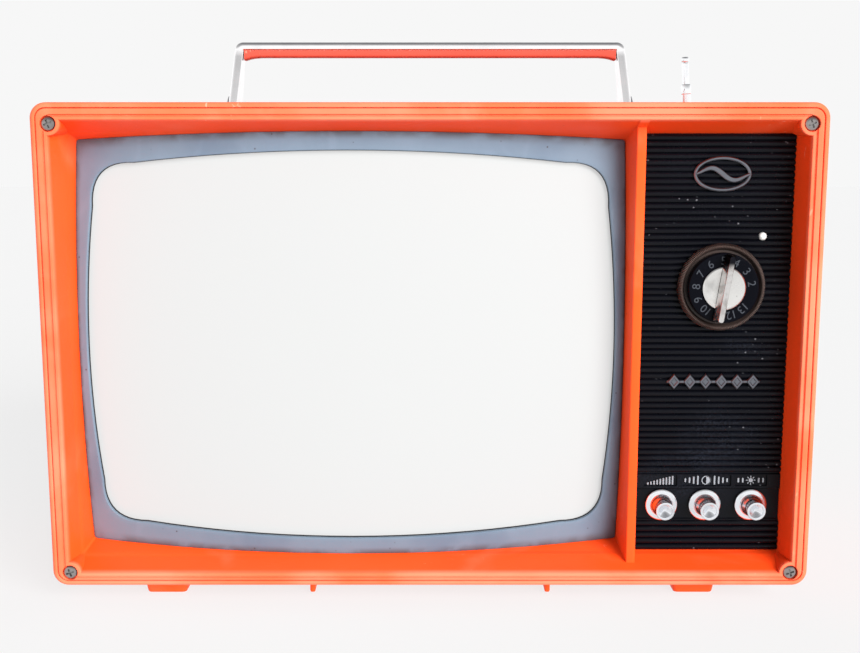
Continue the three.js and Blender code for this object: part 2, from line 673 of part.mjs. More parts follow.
function channelDial() {
  const back = depthToY(14.8);
  const profile = [
    [0, back], [0, depthToY(DIAL_DEPTH)], [DIAL_RADIUS - 0.5, depthToY(DIAL_DEPTH)],
    [DIAL_RADIUS, depthToY(DIAL_DEPTH + 0.4)], [DIAL_RADIUS, back], [0, back],
  ];
  return onTunerAxis(piece('channel_dial', turned(profile, 30), BLACK));
}

function channelCap() {
  const back = depthToY(DIAL_DEPTH - GAP);
  const profile = [
    [0, back], [0, depthToY(DIAL_DEPTH - 1.1)], [CAP_RADIUS - 0.6, depthToY(DIAL_DEPTH - 1)],
    [CAP_RADIUS, depthToY(DIAL_DEPTH - 0.6)], [CAP_RADIUS, back], [0, back],
  ];
  return onTunerAxis(piece('channel_cap', turned(profile, 24), CHROME));
}

function channelGrip() {
  const front = [-1.4, 1.4, -16.1, 16.1];
  const back = [-2.7, 2.7, -16.9, 16.9];
  const mesh = piece('channel_grip', taperedBlock(front, back, depthToY(3.6), depthToY(DIAL_DEPTH - 1.4)), BLACK);
  mesh.rotation.y = THREE.MathUtils.degToRad(GRIP_TILT);
  return onTunerAxis(mesh);
}

function tunerShaft() {
  return onTunerAxis(piece('tuner_shaft', rod('y', 3, depthToY(15.1), depthToY(60), [0, 0], 16), STEEL));
}

function vhfTuner() {
  const can = block(-30, 30, depthToY(40), depthToY(112), -36, 40);
  const bore = rod('y', 5.3, depthToY(39), depthToY(64), [0, 0], 16);
  const lid = block(-26, 26, depthToY(111), depthToY(114), -32, 36);
  return onTunerAxis(piece('vhf_tuner', cut(join(can, lid), bore), STEEL));
}

// ---------- volume, contrast and brightness ----------

function controlKnob(name, x) {
  const at = (depth) => depthToY(depth);
  const profile = [
    [2.5, at(17.7)], [7.4, at(17.7)], [8, at(16.9)], [8, at(15.7)], [7.2, at(14.7)], [5.6, at(14)], [4.4, at(12.6)],
    [3.7, at(10.6)], [3.8, at(8)], [4.4, at(6)], [4.2, at(5.5)], [3.5, at(5.5)], [2.4, at(6.5)], [0, at(7)],
    [0, at(9)], [2.5, at(9)], [2.5, at(17.7)],
  ];
  return placed(piece(name, turned(profile, 16), CHROME), x, 0, KNOB_Z);
}

function controlShaft(name, x) {
  return placed(piece(name, rod('y', 2.2, depthToY(9.3), depthToY(36), [0, 0], 12), STEEL), x, 0, KNOB_Z);
}

function potentiometer(name, x) {
  const profile = [
    [2.6, depthToY(18.2)], [4.6, depthToY(18.2)], [4.6, depthToY(24)], [9.6, depthToY(24)], [9.6, depthToY(34)],
    [2.6, depthToY(34)], [2.6, depthToY(18.2)],
  ];
  const tags = block(-7, 7, depthToY(27), depthToY(28), -15, -8);
  return placed(piece(name, join(turned(profile, 12), tags), STEEL), x, 0, KNOB_Z);
}

// ---------- handle ----------

function handleLeg(side) {
  const leg = new THREE.BoxGeometry(1, 1, 1);
  const position = leg.attributes.position;
  for (let i = 0; i < position.count; i += 1) {
    const z = position.getZ(i) < 0 ? pivotZ : HANDLE_TOP - 0.5;
    const halfDepth = position.getZ(i) < 0 ? LEG_END_RADIUS : LEG_DEPTH_TOP / 2;
    const outer = handleHalfAt(z);
    const x = side * (position.getX(i) * side > 0 ? outer : outer - LEG_THICK);
    position.setXYZ(i, x, pivotY + Math.sign(position.getY(i)) * halfDepth, z);
  }
  const outer = handleHalfAt(pivotZ);
  const [x0, x1] = [side * outer, side * (outer - LEG_THICK)].sort((a, b) => a - b);
  const end = rod('x', LEG_END_RADIUS, x0, x1, [pivotY, pivotZ], 20);
  return join(solid(leg), end);
}

function handleFrame() {
  const bar = block(
    -HANDLE_HALF_TOP,
    HANDLE_HALF_TOP,
    pivotY - LEG_DEPTH_TOP / 2,
    pivotY + LEG_DEPTH_TOP / 2,
    HANDLE_TOP - BAR_HEIGHT,
    HANDLE_TOP,
  );
  const bore = rod('x', 2.3, -120, 120, [pivotY, pivotZ], 16);
  return piece('handle_frame', cut(join(bar, handleLeg(-1), handleLeg(1)), bore), CHROME);
}

function handleGrip() {
  const top = HANDLE_TOP - BAR_HEIGHT - GAP;
  const half = handleHalfAt(top) - LEG_THICK - GAP - 0.4;
  const shape = new THREE.Shape();
  shape.moveTo(-half, top);
  shape.lineTo(half, top);
  shape.lineTo(half, top - 5.2);
  shape.quadraticCurveTo(half - 0.4, top - 3.6, half - 3, top - 3.6);
  shape.lineTo(3 - half, top - 3.6);
  shape.quadraticCurveTo(0.4 - half, top - 3.6, -half, top - 5.2);
  return piece('handle_grip', slab(shape, pivotY - 4.2, pivotY + 4.2, 4), ORANGE_RED);
}

function handlePin(name, side) {
  const [x0, x1] = [side * 97.6, side * 112].sort((a, b) => a - b);
  return piece(name, rod('x', 2, x0, x1, [pivotY, pivotZ], 14), STEEL);
}

// ---------- aerial: made upright about the Z axis, with z = 0 on top of the cabinet ----------

// Solid of revolution about Z: the profile is a list of [radius, z].
function turnedUpright(profile, sides) {
  const points = profile.map(([radius, z]) => new THREE.Vector2(radius, z));
  return solid(new THREE.LatheGeometry(points, sides).rotateX(Math.PI / 2));
}

function aerial() {
  const baseTop = 16;
  const baseBottom = -128;
  const middleTop = 28.6;
  const middleBottom = -96;
  const grommet = [[3.1, -4], [3.7, -4], [3.7, 0.8], [6, 0.8], [5.4, 2.4], [3.1, 2.4], [3.1, -4]];
  const base = [
    [0, baseBottom], [2.8, baseBottom], [2.8, 9.6], [3, 10.4], [3, baseTop - 1], [2.6, baseTop],
    [2.4, baseTop], [2.4, baseBottom + 2], [0, baseBottom + 2],
  ];
  const middle = [
    [1.5, middleBottom], [2.1, middleBottom], [2.1, middleTop], [1.5, middleTop], [1.5, middleBottom],
  ];
  const tip = [
    [0, middleBottom + 6], [1.2, middleBottom + 6], [1.2, middleTop + GAP], [2.4, middleTop + GAP],
    [2.5, middleTop + 2.4], [1.8, middleTop + 3.1], [0, middleTop + 3.2],
  ];
  const group = new THREE.Group();
  group.position.set(AERIAL_X, depthToY(AERIAL_SETBACK), CEILING);
  group.rotation.y = THREE.MathUtils.degToRad(AERIAL_LEAN);
  group.add(piece('aerial_grommet', turnedUpright(grommet, 20), RUBBER));
  group.add(piece('aerial_base_tube', turnedUpright(base, 16), CHROME));
  group.add(piece('aerial_middle_tube', turnedUpright(middle, 16), CHROME));
  group.add(piece('aerial_tip_rod', turnedUpright(tip, 14), CHROME));
  return group;
}

// ---------- rear cover and what sits on it ----------

const COVER_START = SHELL_DEPTH + GAP;
const COVER_BACK = 250;
const coverFront = [-WIDTH / 2 + 0.4, WIDTH / 2 - 0.4, FLOOR + 0.4, CEILING - 0.4];
const coverBack = [-148, 138, FLOOR + 16, CEILING - 42];
const CAP_HALF = 44;

function shrunk(rectangle, wall) {
  return [rectangle[0] + wall, rectangle[1] - wall, rectangle[2] + wall, rectangle[3] - wall];
}

// Square block about the tube's axis, between two depths.
function neckSquare(half, from, to) {
  return block(
    PICTURE_X - half,
    PICTURE_X + half,
    depthToY(from),
    depthToY(to),
    PICTURE_Z - half,
    PICTURE_Z + half,
  );
}

// Separate cap over the socket at the end of the tube's neck.
function neckCap() {
  const wall = 2.5;
  let cap = cut(
    neckSquare(CAP_HALF, COVER_BACK + GAP, DEPTH),
    neckSquare(CAP_HALF - wall, COVER_BACK - 1, DEPTH - wall),
  );
  for (let i = 0; i < 4; i += 1) {
    const z = PICTURE_Z - 20 + i * 12;
    cap = cut(cap, block(PICTURE_X - 28, PICTURE_X + 28, depthToY(DEPTH - 5), depthToY(DEPTH + 1), z, z + 4));
  }
  return piece('neck_cap', cap, DARK_GREY);
}

function rearCover() {
  const wall = 2.5;
  const shoulder = COVER_START + 8;
  const rim = slab(
    roundedRectangle(0, MIDDLE, WIDTH - 0.8, HEIGHT - 0.8, CORNER_RADIUS - 0.4),
    depthToY(COVER_START),
    depthToY(shoulder),
  );
  const hood = taperedBlock(shrunk(coverFront, 3), coverBack, depthToY(shoulder - 0.5), depthToY(COVER_BACK));
  let cover = join(rim, hood);
  const inner = shrunk(coverFront, wall + 3);
  cover = cut(
    cover,
    slab(roundedRectangle(0, MIDDLE, inner[1] - inner[0], inner[3] - inner[2], 3), depthToY(160), depthToY(shoulder)),
    taperedBlock(inner, shrunk(coverBack, wall), depthToY(shoulder - 0.5), depthToY(COVER_BACK - wall)),
    neckSquare(CAP_HALF - 3, 240, COVER_BACK + 1),
  );
  for (let i = 0; i < 15; i += 1) {
    const x = -126 + i * 18;
    cover = cut(cover, block(x - 2.5, x + 2.5, depthToY(200), depthToY(235), CEILING - 60, CEILING));
  }
  for (let i = 0; i < 7; i += 1) {
    const z = FLOOR + 60 + i * 12;
    cover = cut(cover, block(32, 118, depthToY(COVER_BACK - 5), depthToY(COVER_BACK + 3), z, z + 4));
  }
  for (const [x, z] of Object.values(screwPlaces)) {
    cover = cut(cover, rod('y', 1.9, depthToY(160), depthToY(200), [x, z], 12));
    cover = cut(cover, rod('y', 4, depthToY(shoulder - 3), depthToY(210), [x, z], 16));
  }
  cover = cut(
    cover,
    block(-128, -100, depthToY(240), depthToY(260), FLOOR + 28, FLOOR + 46),
    block(-30, 4, depthToY(240), depthToY(260), FLOOR + 28, FLOOR + 46),
    rod('y', 3, depthToY(240), depthToY(260), [50, FLOOR + 37], 12),
    rod('y', 3, depthToY(240), depthToY(260), [80, FLOOR + 37], 12),
  );
  return piece('rear_cover', cover, DARK_GREY);
}

function powerInlet() {
  const [x0, x1, z0, z1] = [-128 + GAP, -100 - GAP, FLOOR + 28 + GAP, FLOOR + 46 - GAP];
  let inlet = block(x0, x1, depthToY(234), depthToY(COVER_BACK + 1.5), z0, z1);
  inlet = cut(inlet, block(x0 + 3, x1 - 3, depthToY(239), depthToY(256), z0 + 3, z1 - 3));
  for (const x of [-118, -110]) {
    inlet = join(inlet, rod('y', 1.2, depthToY(238.5), depthToY(246), [x, FLOOR + 37], 8));
  }
  return piece('power_inlet', inlet, BLACK);
}

function aerialTerminals() {
  const [x0, x1, z0, z1] = [-30 + GAP, 4 - GAP, FLOOR + 28 + GAP, FLOOR + 46 - GAP];
  let strip = block(x0, x1, depthToY(244), depthToY(COVER_BACK + 2), z0, z1);
  for (let i = 0; i < 4; i += 1) {
    strip = join(strip, rod('y', 2.6, depthToY(250), depthToY(COVER_BACK + 4), [-25 + i * 8, FLOOR + 37], 10));
  }
  return piece('aerial_terminals', strip, BROWN_BLACK);
}

function holdKnob(name, x) {
  const stem = rod('y', 2.4, depthToY(232), depthToY(252), [0, 0], 12);
  const knob = rod('y', 6, depthToY(COVER_BACK + 1), depthToY(COVER_BACK + 10), [0, 0], 18);
  const slot = block(-8, 8, depthToY(COVER_BACK + 9), depthToY(COVER_BACK + 12), -0.8, 0.8);
  return placed(piece(name, cut(join(stem, knob), slot), BLACK), x, 0, FLOOR + 37);
}

function crossScrew(name, x, y, z, towards, length) {
  const radius = SCREW_HEAD_RADIUS;
  const profile = [
    [0, 0], [radius - 0.9, 0.1], [radius, 1.2], [radius, 2], [1.5, 2], [1.5, length - 2], [0, length],
  ];
  let screw = turned(profile, 10);
  screw = cut(screw, block(-2.2, 2.2, -1, 1.1, -0.4, 0.4), block(-0.4, 0.4, -1, 1.1, -2.2, 2.2));
  const mesh = placed(piece(name, screw, STEEL), x, y, z);
  mesh.rotation.x = towards < 0 ? Math.PI : 0;
  mesh.rotation.y = THREE.MathUtils.degToRad(30);
  return mesh;
}

// ---------- inside ----------

function chassisFrame() {
  const tray = block(-152, 150, depthToY(104), depthToY(160), FLOOR + 4, FLOOR + 5.5);
  const lip = block(-152, 150, depthToY(158.5), depthToY(160), FLOOR + 4, FLOOR + 16);
  const posts = [];
  for (const [x, depth] of [[-144, 109], [-144, 153], [56, 109], [56, 153]]) {
    posts.push(rod('z', 3, FLOOR + 5, FLOOR + 13.7, [x, depthToY(depth)], 10));
  }
  return piece('chassis_frame', join(tray, lip, ...posts), STEEL);
}

function mainBoard() {
  const board = block(-150, 62, depthToY(105), depthToY(157), FLOOR + 14, FLOOR + 15.6);
  const bodies = [];
  for (let i = 0; i < 6; i += 1) {
    const x = -96 + i * 24;
    bodies.push(block(x, x + 9, depthToY(112), depthToY(119), FLOOR + 15, FLOOR + 26));
  }
  return piece('main_board', join(board, ...bodies), BOARD);
}

function powerTransformer() {
  const core = block(84, 134, depthToY(112), depthToY(150), FLOOR + 6, FLOOR + 50);
  const winding = block(92, 126, depthToY(104), depthToY(157), FLOOR + 14, FLOOR + 42);
  return piece('power_transformer', join(core, winding), STEEL);
}

function flybackTransformer() {
  const base = block(-146, -112, depthToY(122), depthToY(152), FLOOR + 16, FLOOR + 24);
  const coil = rod('z', 13, FLOOR + 23, FLOOR + 62, [-129, depthToY(137)], 18);
  return piece('flyback_transformer', join(base, coil), BLACK);
}

function filterCapacitor(name, x) {
  return piece(name, rod('z', 11, FLOOR + 16, FLOOR + 58, [x, depthToY(140)], 18), BLUE_CAN);
}

function heatSink() {
  const parts = [block(10, 54, depthToY(126), depthToY(129), FLOOR + 16, FLOOR + 56)];
  for (let i = 0; i < 5; i += 1) {
    const x = 10 + i * 10.5;
    parts.push(block(x, x + 2, depthToY(128), depthToY(152), FLOOR + 16, FLOOR + 56));
  }
  return piece('heat_sink', join(...parts), BLACK);
}

// Speaker pieces are made about the Y axis and turned to face +X.
function speakerPiece(name, profile, finish) {
  const mesh = piece(name, turned(profile, 18), finish);
  mesh.rotation.z = Math.PI / 2;
  return placed(mesh, WIDTH / 2 - SHELL_WALL - GAP, depthToY(115), 81.5);
}

function speakerBasket() {
  const profile = [
    [30, 0], [37, 0], [37, 2], [33, 3], [20, 18], [20, 32], [0, 32], [0, 30], [8, 30], [8, 20], [15, 16], [30, 3], [30, 0],
  ];
  return speakerPiece('speaker_basket', profile, STEEL);
}

function speakerCone() {
  const profile = [[0, 8], [7, 8], [28, 1], [29.5, 1], [29.5, 2], [9, 14], [0, 14]];
  return speakerPiece('speaker_cone', profile, PAPER);
}

// ---------- assembly ----------

const television = new THREE.Group();
television.add(cabinetShell(), frontBezel(), rearCover(), neckCap());
television.add(screenMask(), screenGasket(), faceplate(), rimband(), funnel(), deflectionYoke(), socketBoard());
television.add(controlPanel(), upperBadge(), lowerBadge(), pilotLens());
television.add(fineTuningRing(), fineTuningSleeve(), channelDial(), channelCap(), channelGrip());
television.add(tunerShaft(), vhfTuner());
['volume', 'contrast', 'brightness'].forEach((name, i) => {
  television.add(controlKnob(`${name}_knob`, KNOB_X[i]));
  television.add(controlShaft(`${name}_shaft`, KNOB_X[i]));
  television.add(potentiometer(`${name}_pot`, KNOB_X[i]));
});
television.add(handleFrame(), handleGrip(), handlePin('handle_pin_left', -1), handlePin('handle_pin_right', 1));
television.add(aerial());
television.add(powerInlet(), aerialTerminals());
television.add(holdKnob('vertical_hold_knob', 50), holdKnob('horizontal_hold_knob', 80));
for (const [place, [x, z]] of Object.entries(screwPlaces)) {
  television.add(crossScrew(`front_screw_${place}`, x, depthToY(0.1), z, 1, 50));
  television.add(crossScrew(`rear_screw_${place}`, x, depthToY(SHELL_DEPTH + 8), z, -1, 22));
}
television.add(chassisFrame(), mainBoard(), powerTransformer(), flybackTransformer());
television.add(filterCapacitor('filter_capacitor_a', -64), filterCapacitor('filter_capacitor_b', -36), heatSink());
television.add(speakerBasket(), speakerCone());

export default television;
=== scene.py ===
"""Looks of a portable television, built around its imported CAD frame.

Lengths in this file are millimetres until a mesh is made, where MM turns them into metres.
A point is (x, depth, z): depth is counted backwards from the front rim of the cabinet.
"""

import math

import bmesh
import bpy
from mathutils import Matrix, Vector


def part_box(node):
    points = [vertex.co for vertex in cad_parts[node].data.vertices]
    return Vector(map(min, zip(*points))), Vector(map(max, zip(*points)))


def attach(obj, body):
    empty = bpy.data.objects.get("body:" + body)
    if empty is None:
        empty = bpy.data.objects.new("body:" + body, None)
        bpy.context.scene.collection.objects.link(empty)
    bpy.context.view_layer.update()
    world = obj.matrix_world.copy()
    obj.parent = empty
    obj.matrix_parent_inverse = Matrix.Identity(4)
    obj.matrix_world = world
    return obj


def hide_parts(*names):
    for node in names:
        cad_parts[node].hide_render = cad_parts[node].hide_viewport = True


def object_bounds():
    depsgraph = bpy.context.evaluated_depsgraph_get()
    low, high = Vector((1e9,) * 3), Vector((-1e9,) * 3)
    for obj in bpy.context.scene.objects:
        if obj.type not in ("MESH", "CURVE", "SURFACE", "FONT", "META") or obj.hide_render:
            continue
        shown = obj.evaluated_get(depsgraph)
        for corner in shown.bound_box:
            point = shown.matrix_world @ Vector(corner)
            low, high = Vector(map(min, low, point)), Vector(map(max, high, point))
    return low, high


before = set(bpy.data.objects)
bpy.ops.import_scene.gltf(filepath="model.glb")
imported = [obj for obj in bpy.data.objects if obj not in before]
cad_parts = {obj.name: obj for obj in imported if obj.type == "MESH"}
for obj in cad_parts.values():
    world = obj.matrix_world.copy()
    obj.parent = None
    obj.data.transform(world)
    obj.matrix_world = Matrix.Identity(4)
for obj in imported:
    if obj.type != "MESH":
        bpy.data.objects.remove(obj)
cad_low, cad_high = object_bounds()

MM = 0.001
TURN = 2 * math.pi


# ---------------------------------------------------------------- places from the frame


FRONT_Y = cad_low.y / MM


def node_box(node):
    """Lowest and highest corner of a CAD node as (x, depth, z)."""
    return tuple((corner.x / MM, corner.y / MM - FRONT_Y, corner.z / MM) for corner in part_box(node))


def node_centre(node):
    low, high = node_box(node)
    return tuple((a + b) / 2 for a, b in zip(low, high))


def node_half(node):
    """Half the size of a CAD node along x, depth and z."""
    low, high = node_box(node)
    return tuple((b - a) / 2 for a, b in zip(low, high))


COVER_INSET = 0.4
shell_high = node_box("cabinet_shell")[1]
cover_low, cover_high = node_box("rear_cover")
SIDE = shell_high[0]
CEILING = shell_high[2]
SHELL_DEPTH = shell_high[1]
FLOOR = cover_low[2] - COVER_INSET

# Section of the front, as moulded
SHELL_WALL = 2.5
CORNER = 7.5
SEAM = 0.3
RIM_SIDE = 8.0
RIM_TOP = 8.0
RIM_BOTTOM = 6.4
SLOPE_TOP = 0.331
SLOPE_BOTTOM = 0.33
SLOPE_LEFT = 0.2
SLOPE_RIGHT = 0.128
BEZEL_DEPTH = 32.0
DIVIDER_LEFT = 97.8
DIVIDER_RIGHT = 102.4
DIVIDER_SETBACK = 8.0
DIVIDER_SLOPE = 0.12
BOSS_RADIUS = 5.5
HEAD_RADIUS = 3.3

PICTURE_X, _, PICTURE_Z = node_centre("crt_faceplate")
TUNER_X, _, TUNER_Z = node_centre("channel_cap")
SCREW_X = node_centre("front_screw_top_right")[0]
SCREW_TOP = node_centre("front_screw_top_right")[2]
SCREW_BOTTOM = node_centre("front_screw_bottom_right")[2]
FACE_DEPTH = 7.0
FACE_DROP = (13.0, 7.0)
FACE_HALF = (135.0, 103.0)
OPENING_HALF = (130.5, 96.5)
OPENING_BULGE = (4.0, 6.0)
OPENING_CORNER = 21.5


# ---------------------------------------------------------------- mesh building


class Solid:
    """Points and faces of one piece, in millimetres. Its loft, lathe and slab add to it and return it."""

    def __init__(self):
        self.points = []
        self.faces = []
        self.shade = {}

    def ring(self, points):
        start = len(self.points)
        self.points.extend(points)
        return list(range(start, len(self.points)))

    def bridge(self, a, b):
        for i in range(len(a)):
            j = (i + 1) % len(a)
            self.faces.append((a[i], a[j], b[j], b[i]))

    def loft(self, rings, wrap=False):
        """Skin through rings of equal length, closed by caps, or by joining the last ring to the first."""
        made = [self.ring(ring) for ring in rings]
        for a, b in zip(made, made[1:]):
            self.bridge(a, b)
        if wrap:
            self.bridge(made[-1], made[0])
        else:
            self.faces.append(tuple(reversed(made[0])))
            self.faces.append(tuple(made[-1]))
        return self

    def lathe(self, profile, centre, sides=48, axis="y", wave=None):
        """Turns [radius, along] points about an axis through centre. wave(angle, i) changes a radius."""
        cx, cd, cz = centre
        rings = []
        for i, (radius, along) in enumerate(profile):
            ring = []
            for step in range(sides):
                angle = TURN * step / sides
                r = max(radius, 0.001) + (wave(angle, i) if wave else 0)
                u, v = r * math.cos(angle), r * math.sin(angle)
                if axis == "y":
                    ring.append((cx + u, cd + along, cz + v))
                elif axis == "x":
                    ring.append((cx + along, cd + u, cz + v))
                else:
                    ring.append((cx + u, cd + v, cz + along))
            rings.append(ring)
        return self.loft(rings)

    def slab(self, outline, near, far, edge=0.0):
        """Flat outline of (x, z) points carried from one depth to another, with a chamfer in front."""
        rings = [at_depth(shrink_outline(outline, edge), near)] if edge else []
        return self.loft(rings + [at_depth(outline, near + edge), at_depth(outline, far)])


def at_depth(outline, depth):
    """Puts an outline of (x, z) points at a depth."""
    return [(x, depth, z) for x, z in outline]


def at_height(outline, z):
    """Puts an outline of (x, depth) points at a height."""
    return [(x, depth, z) for x, depth in outline]


def shrink_outline(outline, distance):
    """Moves each point of a closed outline inwards along the mean of its two side normals."""
    area = sum(a[0] * b[1] - b[0] * a[1] for a, b in zip(outline, outline[1:] + outline[:1]))
    sign = 1 if area > 0 else -1
    moved = []
    for i, point in enumerate(outline):
        before = Vector(outline[i - 1])
        after = Vector(outline[(i + 1) % len(outline)])
        here = Vector(point)
        a = (here - before).normalized()
        b = (after - here).normalized()
        normal = Vector((-(a.y + b.y), a.x + b.x))
        if normal.length < 1e-6:
            normal = Vector((-a.y, a.x))
        normal.normalize()
        reach = distance / max(0.5, normal.dot(Vector((-a.y, a.x))))
        moved.append(tuple(here + normal * reach * sign))
    return moved


def rounded_rectangle(x0, x1, z0, z1, radius, steps=6):
    """Closed outline from the bottom right corner round, counter-clockwise seen from the front."""
    radius = min(radius, (x1 - x0) / 2 - 1e-3, (z1 - z0) / 2 - 1e-3)
    corners = (
        (x1 - radius, z0 + radius, -90),
        (x1 - radius, z1 - radius, 0),
        (x0 + radius, z1 - radius, 90),
        (x0 + radius, z0 + radius, 180),
    )
    outline = []
    for cx, cz, start in corners:
        for step in range(steps + 1):
            angle = math.radians(start + 90 * step / steps)
            outline.append((cx + radius * math.cos(angle), cz + radius * math.sin(angle)))
    return outline


def as_mesh(shape, name="part"):
    """The mesh of a Solid. A shape that is a mesh already is returned as it is."""
    if not isinstance(shape, Solid):
        return shape
    mesh = bpy.data.meshes.new(name)
    vertices = [(x * MM, (FRONT_Y + d) * MM, z * MM) for x, d, z in shape.points]
    mesh.from_pydata(vertices, [], shape.faces)
    for key, values in shape.shade.items():
        layer = mesh.attributes.new(key, "FLOAT", "POINT")
        layer.data.foreach_set("value", values)
    build = bmesh.new()
    build.from_mesh(mesh)
    bmesh.ops.remove_doubles(build, verts=build.verts, dist=2e-6)
    bmesh.ops.recalc_face_normals(build, faces=build.faces)
    build.to_mesh(mesh)
    build.free()
    return mesh


def link(name, data):
    piece = bpy.data.objects.new(name, data)
    bpy.context.scene.collection.objects.link(piece)
    return piece


def evaluated_mesh(piece):
    bpy.context.view_layer.update()
    graph = bpy.context.evaluated_depsgraph_get()
    return bpy.data.meshes.new_from_object(piece.evaluated_get(graph))


def carve(shape, *cutters):
    """Cuts solids out of a shape and returns the new mesh."""
    body = link("carving", as_mesh(shape))
    tools = []
    for cutter in cutters:
        tool = link("cutter", as_mesh(cutter))
        change = body.modifiers.new("cut", "BOOLEAN")
        change.operation = "DIFFERENCE"
        change.solver = "EXACT"
        change.object = tool
        tools.append(tool)
    carved = evaluated_mesh(body)
    for tool in tools + [body]:
        bpy.data.objects.remove(tool)
    return carved


def join_into(mesh, other):
    """Adds another shape's surface to a mesh."""
    added = as_mesh(other)
    build = bmesh.new()
    build.from_mesh(mesh)
    build.from_mesh(added)
    build.to_mesh(mesh)
    build.free()
    bpy.data.meshes.remove(added)


def finish_piece(name, shape, body, material, stands_for=(), angle=32):
    """Turns a shape into a named piece that rides on a CAD body. Edges sharper than angle stay crisp."""
    mesh = as_mesh(shape, name)
    mesh.shade_smooth()
    mesh.set_sharp_from_angle(angle=math.radians(angle))
    mesh.materials.clear()
    mesh.materials.append(material)
    piece = link(name, mesh)
    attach(piece, body)
    if stands_for:
        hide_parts(*stands_for)


def arc(steps, start=0.0, end=90.0):
    """Sines and cosines along an arc, as (sin, cos) pairs."""
    angles = [math.radians(start + (end - start) * i / steps) for i in range(steps + 1)]
    return [(math.sin(a), math.cos(a)) for a in angles]


# ---------------------------------------------------------------- materials


class Finish:
    """A Principled material. Plain values sit on the shader, and what varies comes from noise."""

    def __init__(self, name, colour, roughness, metallic=0.0, **sockets):
        self.material = bpy.data.materials.new(name)
        self.material.use_nodes = True
        self.nodes = self.material.node_tree.nodes
        self.links = self.material.node_tree.links
        self.shader = self.nodes["Principled BSDF"]
        self.shader.inputs["Base Color"].default_value = (*colour, 1)
        self.shader.inputs["Roughness"].default_value = roughness
        self.shader.inputs["Metallic"].default_value = metallic
        for key, value in sockets.items():
            self.shader.inputs[key.replace("_", " ")].default_value = value
        self.place = self.nodes.new("ShaderNodeTexCoord").outputs["Object"]
        self.colour = (*colour, 1)
        self.height = None

    def stretched(self, stretch):
        mapping = self.nodes.new("ShaderNodeMapping")
        mapping.inputs["Scale"].default_value = stretch
        self.links.new(self.place, mapping.inputs["Vector"])
        return mapping.outputs["Vector"]

    def noise(self, per_metre, detail=3.0, stretch=(1, 1, 1), distortion=0.0):
        made = self.nodes.new("ShaderNodeTexNoise")
        made.inputs["Scale"].default_value = per_metre
        made.inputs["Detail"].default_value = detail
        made.inputs["Distortion"].default_value = distortion
        self.links.new(self.stretched(stretch), made.inputs["Vector"])
        return made.outputs["Fac"]

    def cells(self, per_metre):
        made = self.nodes.new("ShaderNodeTexVoronoi")
        made.inputs["Scale"].default_value = per_metre
        self.links.new(self.stretched((1, 1, 1)), made.inputs["Vector"])
        return made.outputs["Distance"]

    def axis(self, index):
        """One coordinate of the surface point, in metres."""
        split = self.nodes.new("ShaderNodeSeparateXYZ")
        self.links.new(self.place, split.inputs[0])
        return split.outputs[index]

    def attribute(self, name):
        made = self.nodes.new("ShaderNodeAttribute")
        made.attribute_name = name
        return made.outputs["Fac"]

    def span(self, value, low, high, to_low=0.0, to_high=1.0):
        made = self.nodes.new("ShaderNodeMapRange")
        made.interpolation_type = "SMOOTHSTEP"
        made.inputs["From Min"].default_value = low
        made.inputs["From Max"].default_value = high
        made.inputs["To Min"].default_value = to_low
        made.inputs["To Max"].default_value = to_high
        self.links.new(value, made.inputs["Value"])
        return made.outputs["Result"]

    def times(self, a, b):
        made = self.nodes.new("ShaderNodeMath")
        made.operation = "MULTIPLY"
        for socket, value in zip(made.inputs, (a, b)):
            if isinstance(value, (int, float)):
                socket.default_value = value
            else:
                self.links.new(value, socket)
        return made.outputs[0]

    def tint(self, amount, colour):
        """Lays another colour over what is there, by an amount from 0 to 1."""
        made = self.nodes.new("ShaderNodeMix")
        made.data_type = "RGBA"
        factor, below, above, result = made.inputs[0], made.inputs[6], made.inputs[7], made.outputs[2]
        self.links.new(amount, factor)
        if isinstance(self.colour, tuple):
            below.default_value = self.colour
        else:
            self.links.new(self.colour, below)
        above.default_value = (*colour, 1)
        self.colour = result
        self.links.new(self.colour, self.shader.inputs["Base Color"])
        return self

    def mottle(self, colour, amount, per_metre, detail, low, high, distortion=0.0):
        """Lays a colour, up to an amount, where a noise goes from low to high."""
        patches = self.noise(per_metre, detail, distortion=distortion)
        return self.tint(self.span(patches, low, high, 0.0, amount), colour)

    def specks(self, per_metre, low, high, patches_per_metre, patches_low, patches_high):
        """Small spots, which only show inside patches of a wider noise."""
        spots = self.span(self.cells(per_metre), low, high)
        return self.times(spots, self.span(self.noise(patches_per_metre, 2), patches_low, patches_high))

    def rough(self, value):
        self.links.new(value, self.shader.inputs["Roughness"])
        return self

    def bump(self, height, distance):
        """Raises the surface by height times distance, in millimetres, over earlier bumps."""
        made = self.nodes.new("ShaderNodeBump")
        made.inputs["Strength"].default_value = 1
        made.inputs["Distance"].default_value = distance * MM
        self.links.new(height, made.inputs["Height"])
        if self.height:
            self.links.new(self.height, made.inputs["Normal"])
        self.height = made.outputs["Normal"]
        self.links.new(self.height, self.shader.inputs["Normal"])
        return self


def scaled(colour, factor):
    return tuple(c * factor for c in colour)


